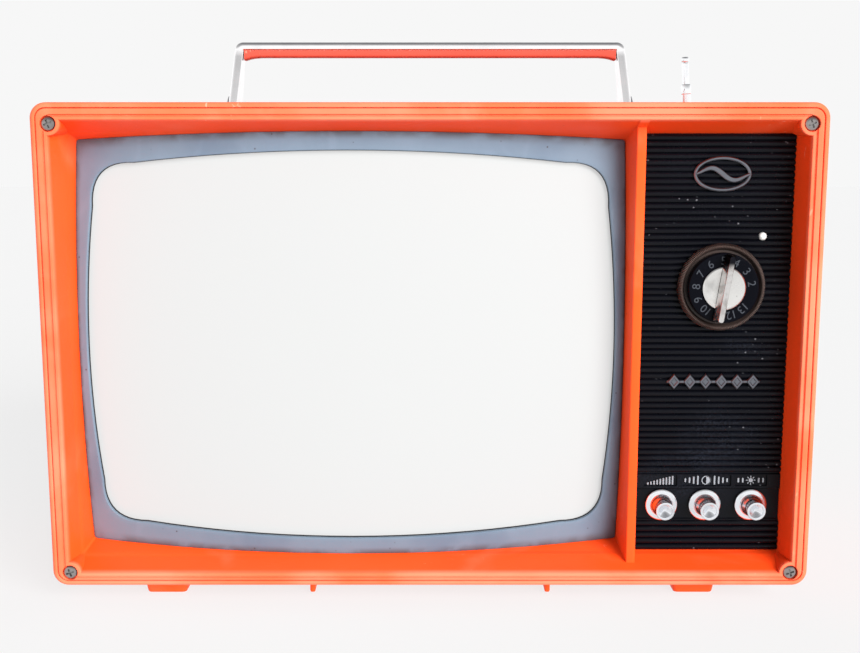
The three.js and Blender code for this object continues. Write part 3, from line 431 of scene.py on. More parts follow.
def orange_plastic(name, colour):
    """Moulded cabinet plastic: painted sheen on the front rim, faint mottling, fine grain, hairline scratches
    and pale scuffs.
    """
    made = Finish(name, colour, 0.46, Specular_IOR_Level=0.22)
    deeper = tuple(c * s for c, s in zip(colour, (0.86, 0.6, 0.6)))
    paler = (0.86, 0.2, 0.115)
    made.mottle(deeper, 0.45, 9, 4, 0.35, 0.75)
    made.mottle(paler, 0.2, 23, 5, 0.56, 0.78, 0.6)
    # Painted sheen: the front 3.5 mm of the rim is tinted paler, in uneven patches, standing for the pale
    # reflection the rim catches.
    painted_rim_sheen = made.span(made.axis(1), (FRONT_Y + 3.5) * MM, (FRONT_Y + 0.5) * MM)
    uneven = made.span(made.noise(19, 4, distortion=0.4), 0.34, 0.66, 0.3, 0.75)
    made.tint(made.times(painted_rim_sheen, uneven), paler)
    scuff = made.times(
        made.span(made.noise(260, 6, (1, 1, 0.35), 1.2), 0.66, 0.74),
        made.span(made.noise(14, 2), 0.52, 0.66),
    )
    made.tint(made.times(scuff, 0.5), (0.93, 0.5, 0.38))
    speck = made.specks(130, 0.09, 0.05, 31, 0.55, 0.7)
    made.tint(made.times(speck, 0.5), (0.16, 0.05, 0.03))
    scratch = made.span(made.noise(90, 3, (1, 1, 24), 0.3), 0.62, 0.7)
    made.rough(made.span(made.noise(17, 5), 0.3, 0.7, 0.4, 0.56))
    made.bump(made.noise(1500, 2), 0.03)
    made.bump(made.noise(60, 2), 0.12)
    made.bump(scratch, 0.02)
    return made.material


def silver_paint(name):
    """Picture mask of blue-grey metallic paint, darkened in patches towards its outer border."""
    made = Finish(name, (0.125, 0.166, 0.214), 0.44, 0.1, Specular_IOR_Level=0.4)
    made.mottle((0.09, 0.124, 0.174), 0.6, 26, 5, 0.4, 0.7)
    clouds = made.span(made.noise(60, 6, (1, 1, 0.5), 0.8), 0.5, 0.72, 0.0, 0.4)
    made.tint(clouds, (0.15, 0.195, 0.25))
    # Darker in patches towards the outer border, where the mask meets the recess walls.
    border = made.span(made.attribute("border"), 0.55, 1.0)
    patches = made.span(made.noise(70, 5, distortion=0.5), 0.3, 0.62, 0.2, 1.0)
    made.tint(made.times(made.times(border, patches), 0.75), (0.06, 0.052, 0.055))
    specks = made.specks(210, 0.12, 0.06, 37, 0.5, 0.62)
    made.tint(specks, (0.05, 0.045, 0.05))
    made.rough(made.span(made.noise(40, 5), 0.3, 0.7, 0.36, 0.55))
    made.bump(made.noise(2600, 2), 0.012)
    made.bump(made.noise(120, 3), 0.05)
    return made.material


def black_moulding(name, dust=0.6, shine=0.16):
    """Glossy black plastic with grey dust that has settled in patches and specks."""
    made = Finish(name, (0.0014, 0.0016, 0.003), 0.3, Specular_IOR_Level=shine)
    patches = made.span(made.noise(30, 5, (0.5, 1, 1)), 0.45, 0.72)
    grain = made.span(made.noise(900, 3), 0.35, 0.7)
    low_down = made.span(made.axis(2), 0.2, 0.1, 0.25, 1.0)
    made.tint(made.times(made.times(made.times(patches, grain), low_down), 0.26 * dust), (0.07, 0.085, 0.13))
    specks = made.specks(240, 0.15, 0.05, 45, 0.53, 0.64)
    made.tint(made.times(specks, 0.8 * dust), (0.2, 0.2, 0.22))
    made.rough(made.span(made.noise(60, 5), 0.3, 0.7, 0.2, 0.4))
    made.bump(made.noise(420, 3), 0.03)
    return made.material


def plain_moulding(name, colour, roughness, grain=1200, depth=0.03):
    """Matt moulded plastic or card with a fine grain."""
    made = Finish(name, colour, roughness, Specular_IOR_Level=0.4)
    made.mottle(scaled(colour, 0.72), 0.5, 45, 4, 0.4, 0.75)
    paler = tuple(min(1, c * 1.3 + 0.01) for c in colour)
    made.mottle(paler, 0.3, 300, 4, 0.6, 0.75)
    made.rough(made.span(made.noise(80, 4), 0.3, 0.7, roughness - 0.08, roughness + 0.1))
    made.bump(made.noise(grain, 2), depth)
    return made.material


def polished_metal(name, colour, roughness, brush=(1, 1, 1), haze=0.1, cloud=0.5):
    """Metal plating with cloudy wear, faint scratches and pits."""
    made = Finish(name, colour, roughness, 1.0)
    made.mottle(scaled(colour, 0.62), cloud, 70, 5, 0.52, 0.75, 0.4)
    pits = made.specks(330, 0.1, 0.04, 60, 0.52, 0.66)
    made.tint(made.times(pits, 0.8), (0.12, 0.09, 0.08))
    made.rough(made.span(made.noise(110, 5, brush), 0.35, 0.72, roughness, roughness + haze))
    made.bump(made.noise(500, 2, brush), 0.006)
    return made.material


def phosphor_glass(name):
    """Pale phosphor behind the smooth glass of the tube, made evenly bright by a painted glow."""
    coat = {"Coat_Weight": 0.1, "Coat_Roughness": 0.3, "Specular_IOR_Level": 0.1}
    made = Finish(name, (0.14, 0.142, 0.14), 0.55, **coat)
    # Painted glow: the screen is no lamp, and this white emission evens out the light and shade on it.
    made.shader.inputs["Emission Color"].default_value = (1, 1, 1, 1)
    made.shader.inputs["Emission Strength"].default_value = 0.52
    made.mottle((0.135, 0.137, 0.137), 0.3, 6, 2, 0.4, 0.7)
    made.rough(made.span(made.noise(2500, 1), 0.3, 0.7, 0.5, 0.6))
    return made.material


def knurled_plastic(name):
    """Brown plastic of the tuning ring, its ridges painted paler than the grooves between them, as painted
    highlight and shade.
    """
    made = Finish(name, (0.035, 0.024, 0.021), 0.34, Specular_IOR_Level=0.35)
    # Painted highlight and shade: knurl ridges are tinted paler and grooves left dark, so that the knurls
    # stand out.
    made.tint(made.span(made.attribute("ridge"), 0.45, 0.95, 0.0, 0.8), (0.17, 0.125, 0.11))
    made.mottle((0.05, 0.035, 0.03), 0.4, 260, 4, 0.5, 0.7)
    made.rough(made.span(made.noise(120, 4), 0.3, 0.7, 0.26, 0.42))
    made.bump(made.noise(700, 2), 0.03)
    return made.material


def bar_metal(name):
    """Plated grip of the tuner. Its pointing end is painted dark, as a painted reflection of dark
    surroundings in the plating.
    """
    made = Finish(name, (0.72, 0.7, 0.69), 0.2, 1.0)
    made.mottle((0.3, 0.27, 0.25), 0.6, 160, 5, 0.5, 0.72, 0.4)
    # Painted reflection: the top end of the bar is tinted near black for the dark surroundings its plating
    # reflects.
    painted_dark_reflection = made.span(made.axis(2), (TUNER_Z + 9.5) * MM, (TUNER_Z + 13) * MM)
    made.tint(painted_dark_reflection, (0.015, 0.015, 0.02))
    made.rough(made.span(made.noise(110, 5), 0.35, 0.72, 0.18, 0.36))
    made.bump(made.noise(500, 2), 0.006)
    return made.material


def wound_copper(name):
    """Enamelled wire, whose turns show as fine waves."""
    made = Finish(name, (0.42, 0.13, 0.05), 0.35, 0.85)
    wave = made.nodes.new("ShaderNodeTexWave")
    wave.inputs["Scale"].default_value = 380
    made.links.new(made.place, wave.inputs["Vector"])
    made.mottle((0.25, 0.07, 0.03), 0.6, 60, 3, 0.4, 0.7)
    made.bump(wave.outputs["Fac"], 0.25)
    return made.material


ORANGE = orange_plastic("cabinet_orange", (0.87, 0.07, 0.0095))
GRIP_RED = orange_plastic("grip_red", (0.44, 0.07, 0.045))
MASK = silver_paint("mask_silver")
RUBBER = plain_moulding("rubber", (0.012, 0.012, 0.013), 0.62)
SCREEN = phosphor_glass("screen_glass")
DARK_GLASS = plain_moulding("dark_glass", (0.02, 0.022, 0.026), 0.2, 300, 0.01)
STEEL = polished_metal("steel", (0.6, 0.59, 0.57), 0.3, haze=0.2)
CHROME = polished_metal("chrome", (0.92, 0.93, 0.95), 0.12)
KNOB_METAL = polished_metal("knob_metal", (0.86, 0.88, 0.92), 0.2, haze=0.08)
SCREW_METAL = polished_metal("screw_metal", (0.36, 0.34, 0.33), 0.3, haze=0.2)
SATIN = polished_metal("satin_chrome", (0.8, 0.79, 0.77), 0.2, haze=0.14, cloud=0.7)
BLACK = black_moulding("panel_black")
DIAL_BLACK = black_moulding("dial_black", 0.35, 0.06)
KNURLED = knurled_plastic("knurled_brown")
RING_BROWN = plain_moulding("ring_brown", (0.08, 0.056, 0.05), 0.28, 700, 0.03)
COVER_GREY = plain_moulding("cover_grey", (0.035, 0.034, 0.035), 0.55, 1000, 0.12)
COPPER = wound_copper("copper_wire")
BOARD = plain_moulding("board_brown", (0.28, 0.16, 0.06), 0.6, 500, 0.05)
WHITE = plain_moulding("lens_white", (0.62, 0.62, 0.6), 0.35, 400, 0.01)
PAPER = plain_moulding("cone_paper", (0.03, 0.026, 0.022), 0.85, 500, 0.2)
CAN_BLUE = plain_moulding("can_blue", (0.03, 0.07, 0.2), 0.4, 300, 0.02)
GRIP_METAL = bar_metal("grip_metal")
HANDLE_METAL = polished_metal("handle_metal", (0.97, 0.96, 0.97), 0.14, (0.3, 1, 1), 0.12, 0.2)
BADGE = polished_metal("badge_metal", (0.2, 0.21, 0.24), 0.28, haze=0.2)
MARKING = plain_moulding("marking_white", (0.2, 0.21, 0.23), 0.5, 500, 0.01)
DIAL_MARKS = plain_moulding("dial_marks", (0.03, 0.034, 0.042), 0.5, 500, 0.01)
SLOT_FINISH = {
    "rubber": RUBBER, "dark_glass": DARK_GLASS, "steel": STEEL, "chrome": CHROME, "panel_black": BLACK,
    "dial_black": DIAL_BLACK, "ring_brown": RING_BROWN, "cover_grey": COVER_GREY, "copper_wire": COPPER,
    "board_brown": BOARD, "lens_white": WHITE, "cone_paper": PAPER, "can_blue": CAN_BLUE,
    "cabinet_orange": ORANGE, "grip_red": GRIP_RED, "mask_silver": MASK, "screen_glass": SCREEN,
}


# ---------------------------------------------------------------- cabinet


def cabinet_outline(inset, steps=10):
    radius = max(CORNER - inset, 0.4)
    return rounded_rectangle(-SIDE + inset, SIDE - inset, FLOOR + inset, CEILING - inset, radius, steps)


def profile_rings(outline_at, profile):
    """Rings for a wall: the profile is a list of (inset, depth)."""
    return [at_depth(outline_at(inset), depth) for inset, depth in profile]


LIP_ROUND = 1.9
STRAIGHT_FROM = 60.0


def wall_profile():
    """The cabinet wall as (inset, depth): outer face, rounded lip, inner face and back edge."""
    profile = [(0.0, SHELL_DEPTH - 0.6), (0.0, STRAIGHT_FROM), (0.0, LIP_ROUND)]
    profile += [(LIP_ROUND - LIP_ROUND * c, LIP_ROUND - LIP_ROUND * s) for s, c in arc(7)][1:]
    profile += [(SHELL_WALL - 0.4 + 0.4 * s, 0.4 - 0.4 * c) for s, c in arc(3)]
    return profile + [(SHELL_WALL, STRAIGHT_FROM), (SHELL_WALL, SHELL_DEPTH), (0.6, SHELL_DEPTH)]


HINGE_DEPTH, HINGE_Z = node_centre("handle_pin_left")[1:]
WELL_DROP = 12.0
WELL_FRONT = HINGE_DEPTH - 11.6
WELL_BACK = HINGE_DEPTH + 34.0
WELL_INNER = node_box("handle_grip")[1][0] - 0.2
WELL_OUTER = node_box("handle_frame")[1][0] + 0.7
WELL_CORNER = 1.5
WELL_LINING = 1.5


def well_ring(side, grow, z):
    """Outline of a handle well at a height, moved outwards by grow. Side is 1 on the right."""
    x0, x1 = sorted((side * WELL_INNER, side * WELL_OUTER))
    radius = max(WELL_CORNER + grow, 0.3)
    outline = rounded_rectangle(x0 - grow, x1 + grow, WELL_FRONT - grow, WELL_BACK + grow, radius, 4)
    return at_height(outline, z)


def well_mouths():
    """Cutters for the mouths of the two handle wells, widened at the top by a soft edge."""
    cutters = Solid()
    mouth = ((0, CEILING - 6), (0, CEILING - 0.7), (0.5, CEILING - 0.2), (1.0, CEILING + 2))
    for side in (-1, 1):
        cutters.loft([well_ring(side, grow, z) for grow, z in mouth])
    return cutters


def add_well_linings(solid):
    """Trays under the wells, from their outer skin round the rim to the inner one."""
    bottom = HINGE_Z - WELL_DROP
    under = bottom - WELL_LINING
    shut = 0.51 - (WELL_OUTER - WELL_INNER) / 2
    section = (
        (WELL_LINING, CEILING - 1.2), (WELL_LINING, under + 0.8), (WELL_LINING - 0.8, under), (shut, under),
        (shut, bottom), (-0.8, bottom), (0, bottom + 0.8), (0, CEILING - 1.2),
    )
    for side in (-1, 1):
        solid.loft([well_ring(side, grow, z) for grow, z in section], wrap=True)


FOOT_X = 134.0
FOOT_FRONTS = (15.0, 139.0)
FOOT_HALF = 11.5
FOOT_LENGTH = 16.0
FOOT_TAPER = 1.5
RUNNER_X = 59.5
RUNNER_HALF = 1.35
RUNNER_FRONT = 14
RUNNER_BACK = 156


def add_feet(solid):
    """Four tapered feet and two thin runners under the cabinet."""
    top = FLOOR + 0.6
    for x in (-FOOT_X, FOOT_X):
        for front in FOOT_FRONTS:
            rings = []
            for inset, z in ((FOOT_TAPER + 0.9, 0.0), (FOOT_TAPER + 0.25, 0.25), (FOOT_TAPER, 0.9), (0, top)):
                half = FOOT_HALF - inset
                back = front + FOOT_LENGTH - inset
                rings.append(at_height(rounded_rectangle(x - half, x + half, front + inset, back, 2.2, 5), z))
            solid.loft(rings)
    for x in (-RUNNER_X, RUNNER_X):
        rings = []
        for inset, z in ((1.0, 1.0), (0.3, 1.25), (0, 2.0), (0, top)):
            half = RUNNER_HALF - inset * 0.6
            outline = rounded_rectangle(x - half, x + half, RUNNER_FRONT + inset, RUNNER_BACK - inset, 1.0, 3)
            rings.append(at_height(outline, z))
        solid.loft(rings)


SLOT_ROWS = range(-4, 5)
SLOT_HEIGHT = 3.0
SLOT_PITCH = 7.0
SLOT_REACH = 38.0
MIDDLE_SLOT_Z = 80.0


def speaker_slots():
    """Cutters for the rows of slots in front of the speaker in the right-hand wall."""
    centre = node_centre("speaker_basket")[1]
    cutters = Solid()
    for row in SLOT_ROWS:
        low = MIDDLE_SLOT_Z + row * SLOT_PITCH
        half = math.sqrt(SLOT_REACH**2 - (row * SLOT_PITCH) ** 2)
        slot = rounded_rectangle(centre - half, centre + half, low, low + SLOT_HEIGHT, SLOT_HEIGHT / 2, 5)
        cutters.loft([[(x, depth, z) for depth, z in slot] for x in (SIDE - 5, SIDE + 5)])
    return cutters


AERIAL_LEAN = math.radians(-3.8)
AERIAL_FOOT = (151.9, node_centre("aerial_grommet")[1], CEILING)


def leaned(point):
    """A point of the aerial, given from its foot on top of the cabinet, leaned to its real place."""
    x, depth, z = point
    return (
        AERIAL_FOOT[0] + x * math.cos(AERIAL_LEAN) + z * math.sin(AERIAL_LEAN),
        AERIAL_FOOT[1] + depth,
        AERIAL_FOOT[2] - x * math.sin(AERIAL_LEAN) + z * math.cos(AERIAL_LEAN),
    )


def leaned_turning(profile, sides=48):
    """A turned solid on the axis of the aerial. The profile is a list of (radius, height)."""
    turned = Solid().lathe(profile, (0, 0, 0), sides, "z")
    turned.points = [leaned(point) for point in turned.points]
    return turned


def cabinet():
    wall = Solid().loft(profile_rings(cabinet_outline, wall_profile()), wrap=True)
    aerial_bore = leaned_turning([(4.0, -12.0), (4.0, 8.0)], 32)
    mesh = carve(wall, well_mouths(), aerial_bore, speaker_slots())
    extras = Solid()
    add_well_linings(extras)
    add_feet(extras)
    join_into(mesh, extras)
    finish_piece("cabinet_moulding", mesh, "cabinet", ORANGE, ["cabinet_shell"], angle=30)


# ---------------------------------------------------------------- front bezel


def recess_walls(depth, grow=0.0):
    """Left, right, bottom and top wall of the recess at a depth, moved outwards by grow."""
    return (
        -SIDE + RIM_SIDE + SLOPE_LEFT * depth - grow,
        SIDE - RIM_SIDE - SLOPE_RIGHT * depth + grow,
        FLOOR + RIM_BOTTOM + SLOPE_BOTTOM * depth - grow,
        CEILING - RIM_TOP - SLOPE_TOP * depth + grow,
    )


RIM_STEPS = 14


def recess_loop(depth, grow=0.0):
    """Outline of the recess, where the four screw bosses bulge into its corners."""
    left, right, bottom, top = recess_walls(depth, grow)
    radius = BOSS_RADIUS - grow
    fillet = 1.2
    loop = []
    for sx, sz in ((1, -1), (1, 1), (-1, 1), (-1, -1)):
        boss_z = SCREW_TOP if sz > 0 else SCREW_BOTTOM
        u = sx * (right if sx > 0 else left) - SCREW_X
        v = sz * ((top if sz > 0 else bottom) - boss_z)
        path = []
        start = -math.acos(max(-1, min(1, u / radius)))
        end = -math.pi - math.asin(max(-1, min(1, v / radius)))
        bulging = abs(u) < radius and abs(v) < radius and end < start
        for step in range(RIM_STEPS + 1):
            t = step / RIM_STEPS
            if bulging:
                angle = start + (end - start) * t
                path.append((radius * math.cos(angle), radius * math.sin(angle)))
            else:
                angle = math.pi / 2 * t
                path.append((u - fillet + fillet * math.cos(angle), v - fillet + fillet * math.sin(angle)))
        if sx * sz < 0:
            path.reverse()
        loop.extend((sx * (SCREW_X + a), boss_z + sz * b) for a, b in path)
    return loop


GROOVE_OUTER = 2.5
GROOVE_INNER = 1.4
GROOVE_DEEP = 0.9
RECESS_LIP = 0.45
RECESS_STEPS = 16
BEZEL_BACK = 3.5


def bezel_rings():
    """Rings of the front frame: outer edge, rim with its groove, recess with the screw bosses, and back."""
    seat = SHELL_WALL + SEAM
    edge = 0.8

    def rim(inset):
        return cabinet_outline(inset, RIM_STEPS)

    rings = profile_rings(rim, [(seat, BEZEL_BACK), (seat, 2.0)])
    rings += profile_rings(rim, [(seat + edge - edge * c, edge - edge * s) for s, c in arc(5)])
    for offset, radius, depth in (
        (GROOVE_OUTER, 4.4, 0.0), (GROOVE_OUTER - 0.12, 4.3, 0.3), (GROOVE_OUTER - 0.4, 4.0, GROOVE_DEEP),
        (GROOVE_INNER + 0.3, 3.6, GROOVE_DEEP), (GROOVE_INNER + 0.1, 3.4, 0.35),
        (GROOVE_INNER - 0.1, 3.2, 0.0),
    ):
        rings.append(at_depth(rounded_rectangle(*recess_walls(0, offset), radius, RIM_STEPS), depth))
    for s, c in arc(4):
        depth = RECESS_LIP - RECESS_LIP * c
        rings.append(at_depth(recess_loop(depth, RECESS_LIP - RECESS_LIP * s), depth))
    for step in range(1, RECESS_STEPS + 1):
        depth = step * BEZEL_DEPTH / RECESS_STEPS
        rings.append(at_depth(recess_loop(depth), depth))
    for depth in (BEZEL_DEPTH, BEZEL_BACK):
        rings.append(at_depth(rounded_rectangle(*recess_walls(depth, 2.4), 3, RIM_STEPS), depth))
    return rings


def screw_seat(x, z):
    """Cutter for the countersunk seat of a front screw."""
    hole = Solid().lathe([(4.5, -0.6), (HEAD_RADIUS + 0.45, 0.25), (HEAD_RADIUS + 0.4, 2.4)], (x, 0, z), 48)
    return hole


def fin():
    """The fin between picture and controls, and the low pad that runs from its top to the rim."""
    solid = Solid()
    edge = 0.7
    section = [(DIVIDER_LEFT + edge - edge * c, DIVIDER_SETBACK + edge - edge * s) for s, c in arc(4)]
    section += [(DIVIDER_RIGHT - edge + edge * s, DIVIDER_SETBACK + edge - edge * c) for s, c in arc(4)]
    section.append((DIVIDER_RIGHT, BEZEL_DEPTH))
    section.append((DIVIDER_LEFT - DIVIDER_SLOPE * (BEZEL_DEPTH - DIVIDER_SETBACK), BEZEL_DEPTH))
    ends = []
    for which, sink in ((2, -1.5), (3, 1.5)):
        ends.append([(x, depth, recess_walls(depth)[which] + sink) for x, depth in section])
    solid.loft(ends)

    half = (DIVIDER_RIGHT - DIVIDER_LEFT) / 2
    middle = (DIVIDER_RIGHT + DIVIDER_LEFT) / 2
    pad = []
    for depth, proud in ((0.5, 0.02), (2.0, 0.45), (DIVIDER_SETBACK + 1, 0.9)):
        top = recess_walls(depth)[3]
        outline = [(-half, -0.6), (-half, proud * 0.7), (0.5 - half, proud)]
        outline += [(-x, drop) for x, drop in reversed(outline)]
        pad.append([(middle + x, depth, top - drop) for x, drop in outline])
    solid.loft(pad)
    return solid


def bezel():
    body = Solid().loft(bezel_rings(), wrap=True)
    seats = [screw_seat(x, z) for x in (-SCREW_X, SCREW_X) for z in (SCREW_BOTTOM, SCREW_TOP)]
    mesh = carve(body, *seats)
    join_into(mesh, fin())
    finish_piece("bezel_moulding", mesh, "cabinet", ORANGE, ["front_bezel"], angle=34)


# ---------------------------------------------------------------- picture tube and mask


def face_depth(x, z):
    """Depth of the bowed picture face."""
    u = (x - PICTURE_X) / FACE_HALF[0]
    v = (z - PICTURE_Z) / FACE_HALF[1]
    return FACE_DEPTH + FACE_DROP[0] * u * u + FACE_DROP[1] * v * v


def bent(start, control, end, steps):
    """Points of a quadratic curve, without its last one."""
    points = []
    for i in range(steps):
        t = i / steps
        points.append(tuple(
            (1 - t) ** 2 * a + 2 * t * (1 - t) * b + t * t * c for a, b, c in zip(start, control, end)
        ))
    return points


SIDE_STEPS = 18
CORNER_STEPS = 12
LOOP_STEPS = 4 * (SIDE_STEPS + CORNER_STEPS)


def picture_outline(margin):
    """Outline of the picture opening: four bowed sides and four round corners."""
    hx = OPENING_HALF[0] - OPENING_BULGE[0] + margin
    hz = OPENING_HALF[1] - OPENING_BULGE[1] + margin
    r = OPENING_CORNER + margin
    bx, bz = hx + 2 * OPENING_BULGE[0], hz + 2 * OPENING_BULGE[1]
    tip_x, tip_z = hx + 1, hz + 1
    loop = bent((r - hx, -hz), (0, -bz), (hx - r, -hz), SIDE_STEPS)
    loop += bent((hx - r, -hz), (tip_x, -tip_z), (hx, r - hz), CORNER_STEPS)
    loop += bent((hx, r - hz), (bx, 0), (hx, hz - r), SIDE_STEPS)
    loop += bent((hx, hz - r), (tip_x, tip_z), (hx - r, hz), CORNER_STEPS)
    loop += bent((hx - r, hz), (0, bz), (r - hx, hz), SIDE_STEPS)
    loop += bent((r - hx, hz), (-tip_x, tip_z), (-hx, hz - r), CORNER_STEPS)
    loop += bent((-hx, hz - r), (-bx, 0), (-hx, r - hz), SIDE_STEPS)
    loop += bent((-hx, r - hz), (-tip_x, -tip_z), (r - hx, -hz), CORNER_STEPS)
    return [(PICTURE_X + x, PICTURE_Z + z) for x, z in loop]


def frame_point(walls, radius, index):
    """Point of a rounded rectangle that goes with one index of picture_outline."""
    left, right, bottom, top = walls
    stretch = SIDE_STEPS + CORNER_STEPS
    side, step = divmod(index, stretch)
    corners = ((left, bottom), (right, bottom), (right, top), (left, top))
    x0, z0 = corners[side]
    x1, z1 = corners[(side + 1) % 4]
    length = math.hypot(x1 - x0, z1 - z0)
    dx, dz = (x1 - x0) / length, (z1 - z0) / length
    if step < SIDE_STEPS:
        run = radius + (length - 2 * radius) * step / SIDE_STEPS
        return (x0 + dx * run, z0 + dz * run)
    angle = math.pi / 2 * (step - SIDE_STEPS) / CORNER_STEPS
    cx, cz = x1 - dx * radius - dz * radius, z1 - dz * radius + dx * radius
    return (
        cx + radius * (dx * math.sin(angle) + dz * math.cos(angle)),
        cz + radius * (dz * math.sin(angle) - dx * math.cos(angle)),
    )


def mask_border(shrink):
    """Outer outline of the mask, where its bowed face meets the recess walls."""
    points = []
    for index in range(LOOP_STEPS):
        depth = 20.0
        for _ in range(6):
            left, _, bottom, top = recess_walls(depth, -shrink)
            fin = DIVIDER_LEFT - DIVIDER_SLOPE * (depth - DIVIDER_SETBACK) - shrink
            point = frame_point((left, fin, bottom, top), 1.6, index)
            depth = face_depth(*point)
        points.append(point)
    return points


def on_face(outline, behind):
    return [(x, face_depth(x, z) + behind, z) for x, z in outline]


def between(a, b, t):
    return [(p[0] + (q[0] - p[0]) * t, p[1] + (q[1] - p[1]) * t) for p, q in zip(a, b)]


def mask():
    border = mask_border(SEAM)
    border_inner = mask_border(SEAM + 0.5)
    opening = picture_outline(0.0)
    lip = picture_outline(0.6)
    rings = [on_face(border, 2.0), on_face(border, 0.4), on_face(border_inner, 0.0)]
    amounts = [1.0, 1.0, 1.0]
    for t in (0.1, 0.25, 0.4, 0.55, 0.7, 0.85, 1.0):
        rings.append(on_face(between(border_inner, lip, t), 0.0))
        amounts.append(1 - t)
    for s, c in arc(4)[1:]:
        rings.append(on_face(between(lip, opening, s), 0.6 - 0.6 * c))
        amounts.append(0.0)
    rings.append(on_face(picture_outline(0.1), 2.2))
    rings.append(on_face(between(border, opening, 0.5), 2.2))
    amounts += [0.0, 0.5]
    body = Solid().loft(rings, wrap=True)
    body.shade["border"] = [amount for amount in amounts for _ in border]
    finish_piece("mask_plate", body, "cabinet", MASK, ["screen_mask"], angle=40)


def gasket():
    section = ((-0.2, 2.9), (-0.1, 2.6), (0.2, 2.5), (2.2, 2.5), (2.4, 2.8), (2.2, 3.1), (-0.2, 3.1))
    body = Solid().loft([on_face(picture_outline(margin), behind) for margin, behind in section], wrap=True)
    finish_piece("gasket_ring", body, "cabinet", RUBBER, ["screen_gasket"], angle=50)


def glass():
    half_x, _, half_z = node_half("crt_faceplate")
    skirt_end = node_box("crt_faceplate")[1][1]
    behind = 3.4
    wall = 8.0
    edge = 2.5

    def outline(shrink, scale=1.0):
        hx, hz = (half_x - shrink) * scale, (half_z - shrink) * scale
        walls = (PICTURE_X - hx, PICTURE_X + hx, PICTURE_Z - hz, PICTURE_Z + hz)
        radius = (24 - shrink) * scale
        return [frame_point(walls, radius, i) for i in range(LOOP_STEPS)]

    rings = [on_face(outline(edge, scale), behind) for scale in (0.03, 0.2, 0.35, 0.5, 0.65, 0.8, 0.92, 1.0)]
    for s, c in arc(4)[1:]:
        rings.append(on_face(outline(edge - edge * s), behind + edge - edge * c))
    rings.append(at_depth(outline(0.0), skirt_end))
    rings.append(at_depth(outline(wall), skirt_end))
    for scale in (1.0, 0.6, 0.2, 0.03):
        rings.append(on_face(outline(wall, scale), behind + 9))
    body = Solid().loft(rings)
    finish_piece("tube_face", body, "cabinet", SCREEN, ["crt_faceplate"], angle=40)


# ---------------------------------------------------------------- control panel

panel_low, panel_high = node_box("control_panel")
RIB_HEIGHT = 1.3
RIB_PITCH = 3.0
PANEL_FACE = panel_low[1] + RIB_HEIGHT
KNOB_NAMES = ("volume", "contrast", "brightness")
KNOB_PLACES = [node_centre(f"{name}_knob") for name in KNOB_NAMES]
STRIP_LOW = 55.2
STRIP_HIGH = 62.4
LOWER_RIBS_END = 38.2
STRIP_RISE = 0.9


def panel_profile():
    """Depth and height of the panel's front, from bottom to top: ribs, smooth band, label strip, ribs."""
    profile = [(PANEL_FACE, panel_low[2])]

    def ribs(start, end):
        count = round((end - start) / RIB_PITCH)
        pitch = (end - start) / count
        for rib in range(count):
            for s, c in arc(8, -90, 90):
                profile.append((PANEL_FACE - RIB_HEIGHT * c, start + (rib + 0.5 + 0.49 * s) * pitch))

    ribs(panel_low[2] + 0.2, LOWER_RIBS_END)
    smooth_low = LOWER_RIBS_END - 0.4
    profile.extend([
        (PANEL_FACE, smooth_low), (PANEL_FACE - 0.55, smooth_low + 0.3), (PANEL_FACE - 0.6, smooth_low + 0.9),
        (PANEL_FACE - 0.1, smooth_low + 1.4), (PANEL_FACE, smooth_low + 1.8),
        (PANEL_FACE, STRIP_LOW - 0.9), (PANEL_FACE - STRIP_RISE - 0.25, STRIP_LOW - 0.3),
        (PANEL_FACE - STRIP_RISE - 0.25, STRIP_LOW + 0.2), (PANEL_FACE - STRIP_RISE, STRIP_LOW + 0.5),
        (PANEL_FACE - STRIP_RISE, STRIP_HIGH - 0.4), (PANEL_FACE, STRIP_HIGH),
    ])
    ribs(STRIP_HIGH + 0.6, panel_high[2] - 0.2)
    profile.append((PANEL_FACE, panel_high[2]))
    return profile


LABEL_WINDOWS = ((107.4, 124.2), (126.4, 151.4), (153.2, 169.4))


def label_window(x0, x1):
    return rounded_rectangle(x0, x1, STRIP_LOW + 0.75, STRIP_HIGH - 0.7, 0.5, 3)


def panel():
    profile = panel_profile()
    back = PANEL_FACE + 3.0
    outline = [(back, panel_low[2])] + profile + [(back, panel_high[2])]

    def right_wall(depth):
        return SIDE - RIM_SIDE - SLOPE_RIGHT * depth - SEAM

    body = Solid()
    columns = []
    left = DIVIDER_RIGHT + SEAM
    for share in (0.0, 0.33, 0.66, 1.0):
        columns.append([(left + (right_wall(depth) - left) * share, depth, z) for depth, z in outline])
    body.loft(columns)

    cuts = Solid()
    for x0, x1 in LABEL_WINDOWS:
        cuts.slab(label_window(x0, x1), PANEL_FACE - 3, PANEL_FACE + 0.1)
    for x, _, z in KNOB_PLACES:
        cuts.lathe([(5.0, -8), (5.0, 8)], (x, PANEL_FACE, z), 40)
    cuts.lathe([(5.4, -8), (5.4, 8)], (TUNER_X, PANEL_FACE, TUNER_Z), 40)
    pilot_x, _, pilot_z = node_centre("pilot_lens")
    cuts.lathe([(2.3, -8), (2.3, 8)], (pilot_x, PANEL_FACE, pilot_z), 32)
    mesh = carve(body, cuts)
    finish_piece("ribbed_panel", mesh, "cabinet", BLACK, ["control_panel"], angle=42)


